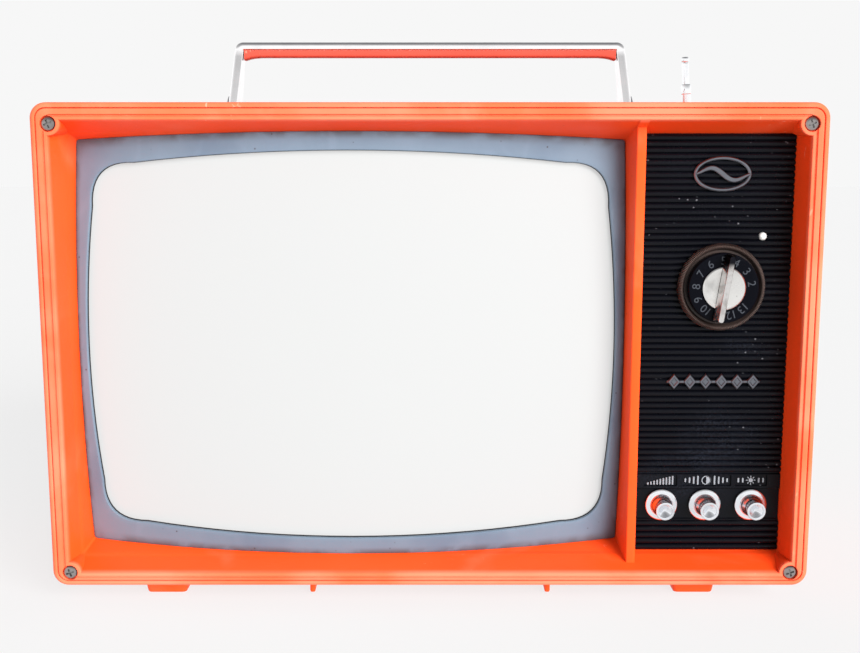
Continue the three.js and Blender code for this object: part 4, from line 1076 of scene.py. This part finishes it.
def label_marks():
    """Generic signs in the label windows: rising bars, a half disc between falling bars, and a sun."""
    marks = Solid()
    near, far = PANEL_FACE - 0.45, PANEL_FACE + 0.2
    low = STRIP_LOW + 1.3
    tall = STRIP_HIGH - STRIP_LOW - 2.6
    radius = tall / 2
    middle_z = low + radius

    def bar(x, height, base=low):
        marks.slab(rounded_rectangle(x - 0.4, x + 0.4, base, base + height, 0.18, 2), near, far, 0.08)

    x0, x1 = LABEL_WINDOWS[0]
    for i in range(9):
        bar(x0 + 2.2 + i * (x1 - x0 - 4.4) / 8, tall * (0.25 + 0.75 * i / 8))

    middle = sum(LABEL_WINDOWS[1]) / 2
    half_disc = [(middle + radius * s, middle_z - radius * c) for s, c in arc(14, 0, 180)]
    marks.slab(half_disc, near, far, 0.08)
    turns = [TURN * step / 32 for step in range(32)]
    rings = []
    for r, depth in ((radius, far), (radius, near), (radius - 0.4, near), (radius - 0.4, far)):
        rings.append([(middle + r * math.cos(turn), depth, middle_z + r * math.sin(turn)) for turn in turns])
    marks.loft(rings, wrap=True)
    for side in (-1, 1):
        for i in range(4):
            bar(middle + side * (4.2 + i * 2.1), tall * (1 - 0.2 * i), low + tall * 0.1 * i)

    middle = sum(LABEL_WINDOWS[2]) / 2
    hub = Vector((middle, middle_z))
    marks.lathe([(1.05, far - PANEL_FACE), (1.05, near - PANEL_FACE)], (middle, PANEL_FACE, middle_z), 24)
    for ray in range(8):
        angle = TURN * ray / 8
        along = Vector((math.cos(angle), math.sin(angle)))
        across = Vector((-along.y, along.x)) * 0.2
        foot, tip = hub + along * 1.45, hub + along * radius
        marks.slab([tuple(p) for p in (foot - across, tip - across, tip + across, foot + across)], near, far)
    for side in (-1, 1):
        for i in range(2):
            bar(middle + side * (4.0 + i * 2.2), tall * 0.5, low + tall * 0.25)
    finish_piece("label_marks", marks, "cabinet", MARKING, angle=30)


def ribbon(path, width, near, far, edge=0.25, closed=False):
    """Raised band along a path of (x, z) points, its top edges chamfered.

    width gives the width at a share of the path, from 0 to 1.
    """
    body = Solid()
    count = len(path)
    rings = []
    for i, here in enumerate(path):
        before = path[i - 1] if (i or closed) else here
        after = path[(i + 1) % count] if (i < count - 1 or closed) else here
        along = (Vector(after) - Vector(before)).normalized()
        across = Vector((-along.y, along.x))
        half = width(i / (count - 1)) / 2
        place = Vector(here)
        section = [(-half, far), (-half, near + edge), (-half + edge, near)]
        section += [(-offset, depth) for offset, depth in reversed(section)]
        spots = [(place + across * offset, depth) for offset, depth in section]
        rings.append([(spot.x, depth, spot.y) for spot, depth in spots])
    body.loft(rings, wrap=closed)
    return body


BADGE_RISE = 0.3
OVAL_STEPS = 72
OVAL_WIDTH = 1.7
WAVE_STEPS = 40
WAVE_HEIGHT = 3.4
LOZENGES = 6
LOZENGE_PITCH = 7.8


def upper_ornament():
    """An oval ring round a swelling wave."""
    crest = PANEL_FACE - RIB_HEIGHT
    x, _, z = node_centre("upper_badge")
    half_x, _, half_z = (half - 0.9 for half in node_half("upper_badge"))
    turns = [TURN * i / OVAL_STEPS for i in range(OVAL_STEPS)]
    oval = [(x + half_x * math.cos(turn), z + half_z * math.sin(turn)) for turn in turns]
    mesh = as_mesh(ribbon(oval, lambda t: OVAL_WIDTH, crest - 1.5, crest + BADGE_RISE, 0.5, closed=True))
    wave = []
    for i in range(WAVE_STEPS + 1):
        t = i / WAVE_STEPS
        swing = WAVE_HEIGHT * math.sin(TURN * t) * (0.4 + 0.6 * math.sin(math.pi * t))
        wave.append((x - half_x + 2 * half_x * t, z + swing))

    def swell(t):
        return 1.1 + 1.4 * math.sin(math.pi * t)

    join_into(mesh, ribbon(wave, swell, crest - 1.8, crest + BADGE_RISE, 0.35))
    finish_piece("upper_ornament", mesh, "cabinet", BADGE, ["upper_badge"], angle=30)


def lower_ornament():
    """A bar that carries a row of lozenges."""
    crest = PANEL_FACE - RIB_HEIGHT
    x, _, z = node_centre("lower_badge")
    half = node_half("lower_badge")[0]
    lower = Solid()
    bar = rounded_rectangle(x - half, x + half, z - 0.7, z + 0.7, 0.4, 3)
    lower.slab(bar, crest - 1.0, crest + BADGE_RISE, 0.3)
    section = ((0.0, BADGE_RISE), (0.0, -0.8), (0.5, -1.4), (1.4, -1.4), (1.9, -0.9))
    for i in range(LOZENGES):
        cx = x + LOZENGE_PITCH * (i - (LOZENGES - 1) / 2)
        rings = []
        for inset, behind in section:
            a, b = 3.3 - inset, 4.0 - inset * 1.2
            rings.append(at_depth([(cx + a, z), (cx, z + b), (cx - a, z), (cx, z - b)], crest + behind))
        lower.loft(rings)
    finish_piece("lower_ornament", lower, "cabinet", BADGE, ["lower_badge"], angle=20)


def pilot():
    x, _, z = node_centre("pilot_lens")
    low, high = node_box("pilot_lens")
    length = high[1] - low[1]
    radius = high[0] - x
    body = Solid()
    profile = [(0.0, 0.0), (0.6, 0.05), (1.2, 0.3), (1.7, 0.8), (radius, 1.5), (radius, length)]
    body.lathe(profile, (x, low[1], z), 40)
    finish_piece("pilot_jewel", body, "cabinet", WHITE, ["pilot_lens"], angle=50)


# ---------------------------------------------------------------- tuner and knobs


KNURLS = 168
KNURL_STEPS = 4
KNURL_HEIGHT = 0.36
KNURLED_RINGS = (4, 5, 6, 7, 8)
GRIP_TILT = math.radians(8.5)


def tuning_ring():
    """Fine tuning ring, with knurls on its crest and outer side."""
    outer = node_half("fine_tuning_ring")[0] - 0.4
    start = node_box("fine_tuning_ring")[0][1]
    profile = [
        (5.0, 2.8), (18.1, 2.8), (18.7, 1.6), (19.2, 0.4), (19.75, 0.05), (20.3, 0.4), (20.9, 1.6),
        (outer, 3.2), (outer, 4.0), (20.9, 4.0), (5.0, 4.0),
    ]

    def knurl(angle, i):
        return KNURL_HEIGHT * math.cos(KNURLS * angle) if i in KNURLED_RINGS else 0.0

    ring = Solid().lathe(profile, (TUNER_X, start, TUNER_Z), KNURLS * KNURL_STEPS, wave=knurl)
    # Amounts for the painted highlight on the knurls: 1 on a ridge, 0 in a groove, 0.35 on smooth rings.
    ridges = [0.5 + 0.5 * math.cos(TURN * step / KNURL_STEPS) for step in range(KNURLS * KNURL_STEPS)]
    smooth = [0.35] * len(ridges)
    ring.shade["ridge"] = [
        amount for i in range(len(profile)) for amount in (ridges if i in KNURLED_RINGS else smooth)
    ]
    finish_piece("knurled_ring", ring, "fine_tuning", KNURLED, ["fine_tuning_ring"], angle=30)


def dial_disc():
    radius, half_deep, _ = node_half("channel_dial")
    deep = 2 * half_deep
    face = node_box("channel_dial")[0][1]
    profile = [(0.0, 0.25), (9.9, 0.25), (10.6, 0.05), (11.2, 0.0), (radius - 1.2, 0.0)]
    profile += [(radius - 0.8 + 0.8 * s, 0.8 - 0.8 * c) for s, c in arc(4)]
    profile += [(radius, deep - 0.6), (radius - 0.6, deep), (0.0, deep)]
    dial = Solid().lathe(profile, (TUNER_X, face, TUNER_Z), 128)
    finish_piece("dial_disc", dial, "channel_selector", DIAL_BLACK, ["channel_dial"], angle=32)
    dial_numbers(face)


def cap_disc():
    radius, half_deep, _ = node_half("channel_cap")
    deep = 2 * half_deep
    profile = [
        (0.0, 0.12), (radius - 2.2, 0.12), (radius - 1.9, 0.0), (radius - 0.5, 0.0), (radius, 0.35),
        (radius, deep), (0.0, deep),
    ]
    cap = Solid().lathe(profile, (TUNER_X, node_box("channel_cap")[0][1], TUNER_Z), 96)
    finish_piece("cap_disc", cap, "channel_selector", SATIN, ["channel_cap"], angle=25)


def bar_grip():
    """The bar across the cap: wide at its foot, narrow at its top, and turned to point at a number."""
    front, back = (corner[1] for corner in node_box("channel_grip"))
    deep = back - front
    base_half, base_long, top_half, top_long = 2.7, 16.9, 1.4, 16.1
    levels = ((0.0, deep), (0.1, deep - 0.5), (0.35, 3.0), (0.6, 1.9), (0.85, 0.9), (1.0, 0.3), (1.12, 0.0))
    rings = []
    for share, depth in levels:
        half = base_half + (top_half - base_half) * share
        long = base_long + (top_long - base_long) * share
        pinch = 1.0 if depth > 2.5 else 0.97
        rings.append([
            (
                TUNER_X + x * pinch * math.cos(GRIP_TILT) + z * math.sin(GRIP_TILT),
                front + depth,
                TUNER_Z - x * pinch * math.sin(GRIP_TILT) + z * math.cos(GRIP_TILT),
            )
            for x, z in rounded_rectangle(-half, half, -long, long, min(half * 0.75, 1.6), 5)
        ])
    grip = Solid().loft(rings)
    finish_piece("bar_grip", grip, "channel_selector", GRIP_METAL, ["channel_grip"], angle=24)


DIAL_LABELS = ("5", "6", "7", "8", "9", "10", "11", "12", "13", "", "2", "3", "4")
FIRST_LABEL_ANGLE = -3.0
LABEL_REACH = 13.3
LABEL_SIZE = 5.6
LABEL_RISE = 0.12


def dial_numbers(face):
    """Channel numbers around the dial, each turned to stand on the middle of the dial."""
    upright = Matrix.Rotation(math.radians(90), 4, "X")
    total = bpy.data.meshes.new("dial_numbers")
    for index, label in enumerate(DIAL_LABELS):
        if not label:
            continue
        words = bpy.data.curves.new("number", "FONT")
        words.body = label
        words.size = LABEL_SIZE * MM
        words.space_character = 0.95
        words.align_x = "CENTER"
        words.align_y = "CENTER"
        words.extrude = LABEL_RISE * MM
        text = link("number", words)
        made = evaluated_mesh(text)
        bpy.data.objects.remove(text)
        angle = math.radians(FIRST_LABEL_ANGLE - 360 / len(DIAL_LABELS) * index)
        out = Vector((math.sin(angle), 0, math.cos(angle)))
        centre = Vector((TUNER_X, FRONT_Y + face - 0.04, TUNER_Z)) + out * LABEL_REACH
        made.transform(Matrix.Translation(centre * MM) @ Matrix.Rotation(angle, 4, "Y") @ upright)
        join_into(total, made)
    finish_piece("dial_numbers", total, "channel_selector", DIAL_MARKS, angle=30)


KNOB_PROFILE = (
    (0.0, 17.7), (2.5, 17.7), (7.3, 17.7), (7.8, 17.5), (8.0, 17.2), (8.05, 16.6), (7.95, 16.3), (7.7, 16.1),
    (7.2, 15.95), (6.5, 15.8), (5.9, 15.7), (5.65, 15.6), (5.5, 15.2), (5.3, 14.2), (4.9, 13.3), (4.3, 12.5),
    (3.8, 11.7), (3.6, 10.8), (3.65, 9.6), (3.9, 8.2), (4.3, 6.8), (4.55, 6.1), (4.6, 5.85), (4.5, 5.6),
    (4.3, 5.5), (3.8, 5.5), (3.45, 5.6), (3.3, 5.95), (2.6, 6.45), (1.6, 7.2), (0.8, 7.8), (0.0, 8.0),
)


def build_knobs():
    for name, (x, _, z) in zip(KNOB_NAMES, KNOB_PLACES):
        knob = Solid().lathe(KNOB_PROFILE, (x, 0, z), 96)
        button, body, node = f"{name}_button", f"{name}_control", f"{name}_knob"
        finish_piece(button, knob, body, KNOB_METAL, [node], angle=28)


# ---------------------------------------------------------------- handle and aerial

BAR_LOW = 275.7
BAR_HIGH = 279.6
BAR_HALF = 104.25
BAR_HALF_DEEP = 4.5
LEG_THICK = 4.9
LEG_SPLAY = 0.114
LEG_END = 11.0
LEG_STEPS = 12


def leg_outer(z):
    """Outer X of a handle leg at a height."""
    return BAR_HALF + LEG_SPLAY * (BAR_LOW - z)


def bar_section(half_deep, half_thick):
    """Section of the handle band as (depth, outwards): a rounded outer side and a flat inner side."""
    section = [(-half_deep, -half_thick + 0.3), (-half_deep + 0.3, -half_thick)]
    section += [(half_deep - 0.3, -half_thick), (half_deep, -half_thick + 0.3)]
    edge = half_thick * 0.98
    section += [(half_deep - edge + edge * c, half_thick - edge + edge * s) for s, c in arc(4)]
    section += [(-half_deep + edge - edge * s, half_thick - edge + edge * c) for s, c in arc(4)]
    return section


def handle_half():
    """Stations of the right half of the handle.

    Each is (x, z, tilt of the outward side, half depth, half thickness).
    """
    bar_thick = (BAR_HIGH - BAR_LOW) / 2
    leg_thick = LEG_THICK / 2
    corner = 2.6
    middle_z = BAR_HIGH - bar_thick
    turn_x = BAR_HALF - leg_thick - corner
    stations = [(x, middle_z, 0.0, BAR_HALF_DEEP, bar_thick) for x in (0.0, turn_x)]
    for s, c in arc(8)[1:]:
        thick = bar_thick + (leg_thick - bar_thick) * s
        x = turn_x + corner * s
        z = middle_z - corner + corner * c
        stations.append((x, z, math.degrees(math.asin(s)), BAR_HALF_DEEP, thick))
    top_z = stations[-1][1]
    for i in range(1, LEG_STEPS + 1):
        t = i / LEG_STEPS
        z = top_z + (HINGE_Z - top_z) * t
        x = leg_outer(z) - leg_thick
        stations.append((x, z, 90.0, BAR_HALF_DEEP + (LEG_END - BAR_HALF_DEEP) * t, leg_thick))
    return stations


def handle_band():
    """The bent band of the handle, with a round eye at the end of each leg."""
    rings = []
    for x, z, tilt, half_deep, half_thick in handle_half():
        angle = math.radians(tilt)
        rings.append([
            (x + out * math.sin(angle), HINGE_DEPTH + d, z + out * math.cos(angle))
            for d, out in bar_section(half_deep, half_thick)
        ])
    left = [[(-x, d, z) for x, d, z in ring] for ring in reversed(rings[1:])]
    band = Solid().loft(left + rings)
    mesh = as_mesh(band)
    inner = leg_outer(HINGE_Z) - LEG_THICK
    turns = [TURN * i / 48 for i in range(48)]
    edge = ((0.6, 0.0), (0.15, 0.2), (0.0, 0.7), (0.0, 4.2), (0.15, 4.7), (0.6, LEG_THICK))
    for side in (-1, 1):
        eye = Solid()
        eye.loft([
            [
                (
                    side * (inner + reach),
                    HINGE_DEPTH + (LEG_END - inset) * math.sin(turn),
                    HINGE_Z + (LEG_END - inset) * math.cos(turn),
                )
                for turn in turns
            ]
            for inset, reach in edge
        ])
        join_into(mesh, eye)
    finish_piece("handle_band", mesh, "handle", HANDLE_METAL, ["handle_frame"], angle=36)


def hand_grip():
    """The insert under the bar: a flat top, rounded lower edges, and ends that rise to the legs."""
    grip_low, grip_high = node_box("handle_grip")
    half = node_half("handle_grip")[1]
    end = grip_high[0]
    edge = 1.4
    high = BAR_LOW - 0.3
    stations = [(-end, 0.0), (-end + 0.8, 0.15), (-end + 2.5, 0.7), (-end + 5, 1.2), (-end + 9, 1.5)]
    stations += [(-x, rise) for x, rise in reversed(stations)]
    rings = []
    for x, rise in stations:
        low = grip_low[2] + rise
        near_side = [(high, -half), (low + edge, -half)]
        near_side += [(low + edge - edge * s, edge - edge * c - half) for s, c in arc(4)][1:]
        far_side = [(low + edge - edge * c, half - edge + edge * s) for s, c in arc(4)] + [(high, half)]
        rings.append([(x, HINGE_DEPTH + d, z) for z, d in near_side + far_side])
    grip = Solid().loft(rings)
    finish_piece("hand_grip", grip, "handle", GRIP_RED, ["handle_grip"], angle=40)


def hinge_pins():
    for side in ("left", "right"):
        start = node_box(f"handle_pin_{side}")[0][0]
        half_length, _, r = node_half(f"handle_pin_{side}")
        length = 2 * half_length
        profile = [(0.0, 0.0), (r - 0.5, 0.0), (r, 0.5), (r, length - 0.5), (r - 0.5, length), (0.0, length)]
        pin = Solid().lathe(profile, (start, HINGE_DEPTH, HINGE_Z), 32, "x")
        finish_piece(f"hinge_pin_{side}", pin, "cabinet", STEEL, [f"handle_pin_{side}"], angle=30)


# Name, body, finish, slot, CAD node, and profile of each turned piece of the aerial
AERIAL_PIECES = (
    ("bushing", "cabinet", RUBBER, "rubber", "aerial_grommet",
     ((2.95, 0.8), (6.0, 0.8), (6.0, 1.5), (5.6, 2.0), (4.6, 2.4), (2.95, 2.4))),
    ("aerial_foot", "cabinet", CHROME, "chrome", "aerial_base_tube",
     ((0.01, -128), (2.8, -128), (2.8, 10.2), (3.0, 10.5), (3.0, 15.4), (2.7, 16.0), (2.25, 16.0))),
    ("aerial_sleeve", "aerial_middle", CHROME, "chrome", "aerial_middle_tube",
     ((0.01, -96), (2.1, -96), (2.1, 27.6), (1.95, 28.3), (1.35, 28.6))),
    ("aerial_end", "aerial_tip", CHROME, "chrome", "aerial_tip_rod",
     ((0.01, -90), (1.2, -90), (1.2, 28.8), (2.2, 28.9), (2.45, 29.2), (2.5, 30.2), (2.3, 31.1), (1.6, 31.7),
      (0.01, 31.8))),
)


def build_aerial():
    for name, body, material, slot, node, profile in AERIAL_PIECES:
        finish_piece(name, leaned_turning(profile), body, material, [node], angle=30)


# ---------------------------------------------------------------- back


COVER_RIM = 8.0
COVER_WALL = 3.0
COVER_EDGE = (-SIDE + COVER_INSET, SIDE - COVER_INSET, FLOOR + COVER_INSET, CEILING - COVER_INSET)
HOOD_FOOT = (-SIDE + 6.5, SIDE - 6.5, FLOOR + 6.5, CEILING - 6.5)
HOOD_BACK = (-148.0, 138.0, 26.0, 203.0)
TOP_SLOTS = 15
TOP_SLOT_PITCH = 18
TOP_SLOT_DEPTHS = (200, 235)
FIRST_SLOT_X = -126
LOUVRES = 7
LOUVRE_PITCH = 12
LOUVRE_HEIGHT = 4
LOUVRE_SPAN = (32, 118)
FIRST_LOUVRE_Z = 70
NECK_LOUVRES = 4
NECK_LOUVRE_PITCH = 15


def plate(limits, radius, depth, inset=0.0):
    """Ring of a rounded rectangle, from its (left, right, bottom, top) moved inwards."""
    left, right, bottom, top = limits
    outline = rounded_rectangle(left + inset, right - inset, bottom + inset, top - inset, radius, 6)
    return at_depth(outline, depth)


def cover_slots():
    """Cutters for the slots over the sloping top of the hood and the louvres in its back."""
    back = cover_high[1]
    cutters = []
    for i in range(TOP_SLOTS):
        x = FIRST_SLOT_X + TOP_SLOT_PITCH * i
        slot = Solid()
        ends = rounded_rectangle(x - 2.5, x + 2.5, *TOP_SLOT_DEPTHS, 2.4, 4)
        slot.loft([at_height(ends, z) for z in (150, 260)])
        cutters.append(slot)
    for i in range(LOUVRES):
        z = FIRST_LOUVRE_Z + LOUVRE_PITCH * i
        louvre = rounded_rectangle(*LOUVRE_SPAN, z, z + LOUVRE_HEIGHT, 1.9, 4)
        cutters.append(Solid().slab(louvre, back - 8, back + 4))
    return cutters


def back_cover():
    """Rear cover: a flat rim on the cabinet, and a hollow hood that narrows towards the back."""
    rim_front, rim_back = cover_low[1], cover_low[1] + COVER_RIM
    back = cover_high[1]
    rings = [plate(HOOD_BACK, 3, back, inset) for inset in (86, 60, 30)]
    rings += [plate(HOOD_BACK, 14, back - 3.0 + 3.0 * c, 3.0 - 3.0 * s) for s, c in arc(4)]
    start = rim_back + 0.4
    for t in (0.95, 0.8, 0.65, 0.5, 0.35, 0.2, 0.06):
        limits = [a + (b - a) * t for a, b in zip(HOOD_FOOT, HOOD_BACK)]
        rings.append(plate(limits, 9 + 5 * t, start + (back - 6 - start) * t))
    rings.append(plate(HOOD_FOOT, 9, rim_back, -0.6))
    edge = [(2.0, rim_back), (0.8, rim_back - 0.5), (0.0, rim_back - 1.6)]
    for inset, depth in edge + [(0.0, rim_front + 0.8), (0.8, rim_front)]:
        rings.append(plate(COVER_EDGE, CORNER - inset, depth, inset))
    rings += [plate(HOOD_FOOT, 8, depth, 4) for depth in (rim_front, rim_front + 4)]
    rings += [plate(HOOD_BACK, 10, back - COVER_WALL, 6), plate(HOOD_BACK, 3, back - COVER_WALL, 86)]
    body = Solid().loft(rings)
    mesh = carve(body, *cover_slots())
    finish_piece("back_cover", mesh, "cabinet", COVER_GREY, ["rear_cover"], angle=32)


def neck_cover():
    """Louvred cap over the end of the tube."""
    low, high = node_box("neck_cap")
    front, back = low[1], high[1]
    limits = (low[0], high[0], low[2], high[2])
    rings = []
    for inset, depth in ((0.6, front), (0.0, front + 0.6), (0.0, front + 2.5), (1.5, front + 3.2)):
        rings.append(plate(limits, 8 - inset, depth, inset))
    rings += [plate(limits, 7, back - 3.0 + 3.0 * s, 6.0 - 3.0 * c) for s, c in arc(4)]
    cap = Solid().loft(rings)
    x, _, centre_z = node_centre("neck_cap")
    cuts = Solid()
    for i in range(NECK_LOUVRES):
        z = centre_z + NECK_LOUVRE_PITCH * (i - (NECK_LOUVRES - 1) / 2)
        cuts.slab(rounded_rectangle(x - 25, x + 25, z - 2, z + 2, 1.9, 4), back - 4, back + 3)
    finish_piece("neck_cover", carve(cap, cuts), "cabinet", COVER_GREY, ["neck_cap"], angle=32)


def flute(angle, i):
    """Sixteen flutes on the side of a hold knob, which is rings 2 and 3 of its profile."""
    return -0.22 + 0.22 * math.cos(16 * angle) if i in (2, 3) else 0.0


def hold_buttons():
    for name in ("vertical_hold", "horizontal_hold"):
        node = f"{name}_knob"
        x, _, z = node_centre(node)
        front, back = (corner[1] for corner in node_box(node))
        radius = node_half(node)[0]
        length = back - front
        profile = (
            (0.0, 0.0), (radius - 0.4, 0.0), (radius, 0.4), (radius, length - 0.9), (radius - 0.9, length),
            (0.0, length),
        )
        knob = Solid().lathe(profile, (x, front, z), 96, wave=flute)
        slot = Solid()
        reach = radius - 1.2
        slot.slab(rounded_rectangle(x - 0.7, x + 0.7, z - reach, z + reach, 0.5, 3), back - 1.4, back + 2)
        mesh = carve(knob, slot)
        finish_piece(f"{name}_button", mesh, name, BLACK, [node], angle=30)


def screw_arm(x, z, half_length, degrees):
    """Outline of one arm of a cross recess."""
    angle = math.radians(degrees)
    half = 0.45
    corners = ((-half_length, -half), (half_length, -half), (half_length, half), (-half_length, half))
    return [
        (x + p * math.cos(angle) - q * math.sin(angle), z + p * math.sin(angle) + q * math.cos(angle))
        for p, q in corners
    ]


def build_screws():
    for face, out in (("front", -1), ("rear", 1)):
        for place in ("top_left", "top_right", "bottom_left", "bottom_right"):
            node = f"{face}_screw_{place}"
            x, _, z = node_centre(node)
            front, back = (corner[1] for corner in node_box(node))
            head = front if out < 0 else back
            radius = node_half(node)[0]
            length = back - front
            profile = (
                (0.0, 0.0), (radius * 0.55, 0.05), (radius * 0.85, 0.3), (radius, 0.75), (radius, 1.9),
                (1.55, 2.0), (1.5, length - 2), (0.5, length),
            )
            screw = Solid().lathe([(r, -out * along) for r, along in profile], (x, head, z), 40)
            span = sorted((head + out * 2, head - out * 1.3))
            arms = [Solid().slab(screw_arm(x, z, radius * 0.62, turn), *span) for turn in (20, 110)]
            name = f"{node}_cross"
            finish_piece(name, carve(screw, *arms), "cabinet", SCREW_METAL, [node], angle=30)


# ---------------------------------------------------------------- parts kept from the frame


def dress_frame_nodes():
    """Gives every CAD node the finish of its material slot, and softens its edges."""
    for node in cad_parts.values():
        materials = node.data.materials
        for index, material in enumerate(materials):
            materials[index] = SLOT_FINISH[material.name.split(".")[0]]
        edge = node.modifiers.new("edges", "BEVEL")
        edge.width = 0.2 * MM
        edge.segments = 2
        edge.limit_method = "ANGLE"
        edge.angle_limit = math.radians(40)
        edge.harden_normals = True


# ---------------------------------------------------------------- floor, light and camera


# Metres, degrees, and the strengths of lamps
FLOOR_REACH = 6.0
FLOOR_GLOW = 0.79
AMBIENT = 1.15
SUN_ENERGY = 8.0
SUN_WIDTH = 40
SUN_FROM = (0.573, -0.753, 0.326)
SENSOR_WIDTH = 36
FOCAL_LENGTH = 48.14
CAMERA_PLACE = (0, -0.6745, 0.2242)
CAMERA_TILT = 8.85


def set_stage():
    floor_mesh = bpy.data.meshes.new("floor")
    corners = [(x * FLOOR_REACH, y * FLOOR_REACH, 0) for x, y in ((-1, -1), (1, -1), (1, 1), (-1, 1))]
    floor_mesh.from_pydata(corners, [], [(0, 1, 2, 3)])
    floor = link("floor", floor_mesh)
    paper = Finish("floor_paper", (0.1, 0.1, 0.1), 0.9, Specular_IOR_Level=0.0)
    paper.shader.inputs["Emission Color"].default_value = (1, 1, 1, 1)
    paper.shader.inputs["Emission Strength"].default_value = FLOOR_GLOW
    floor.data.materials.append(paper.material)


def set_world():
    world = bpy.data.worlds.new("studio")
    bpy.context.scene.world = world
    world.use_nodes = True
    nodes, links = world.node_tree.nodes, world.node_tree.links
    nodes.clear()
    out = nodes.new("ShaderNodeOutputWorld")
    seen = nodes.new("ShaderNodeBackground")
    seen.inputs["Color"].default_value = (0.93, 0.93, 0.93, 1)
    lit = nodes.new("ShaderNodeBackground")
    mix = nodes.new("ShaderNodeMixShader")
    path = nodes.new("ShaderNodeLightPath")
    links.new(path.outputs["Is Camera Ray"], mix.inputs[0])
    links.new(lit.outputs[0], mix.inputs[1])
    links.new(seen.outputs[0], mix.inputs[2])
    links.new(mix.outputs[0], out.inputs["Surface"])

    place = nodes.new("ShaderNodeTexCoord")
    split = nodes.new("ShaderNodeSeparateXYZ")
    links.new(place.outputs["Generated"], split.inputs[0])
    ramp = nodes.new("ShaderNodeValToRGB")
    stops = ramp.color_ramp.elements
    stops[0].position, stops[0].color = 0.0, (0.9, 0.9, 0.9, 1)
    stops[1].position, stops[1].color = 1.0, (0.16, 0.16, 0.17, 1)
    for position, level in ((0.25, 1.0), (0.45, 0.45)):
        stop = stops.new(position)
        stop.color = (level, level, level, 1)
    links.new(split.outputs[2], ramp.inputs[0])
    links.new(ramp.outputs[0], lit.inputs["Color"])
    lit.inputs["Strength"].default_value = AMBIENT


def set_sun():
    lamp = bpy.data.lights.new("key", "SUN")
    lamp.energy = SUN_ENERGY
    lamp.angle = math.radians(SUN_WIDTH)
    key = link("key", lamp)
    key.rotation_euler = Vector(SUN_FROM).to_track_quat("Z", "Y").to_euler()
    key.visible_glossy = False


def set_camera():
    lens = bpy.data.cameras.new("camera")
    lens.sensor_width = SENSOR_WIDTH
    lens.lens = FOCAL_LENGTH
    camera = link("camera", lens)
    camera.location = CAMERA_PLACE
    camera.rotation_euler = (math.radians(90 - CAMERA_TILT), 0, 0)
    bpy.context.scene.camera = camera


dress_frame_nodes()
cabinet()
bezel()
mask()
gasket()
glass()
panel()
label_marks()
upper_ornament()
lower_ornament()
pilot()
tuning_ring()
dial_disc()
cap_disc()
bar_grip()
build_knobs()
handle_band()
hand_grip()
hinge_pins()
build_aerial()
back_cover()
neck_cover()
hold_buttons()
build_screws()
set_stage()
set_world()
set_sun()
set_camera()
bpy.context.scene.view_settings.view_transform = "Standard"

bpy.context.view_layer.update()
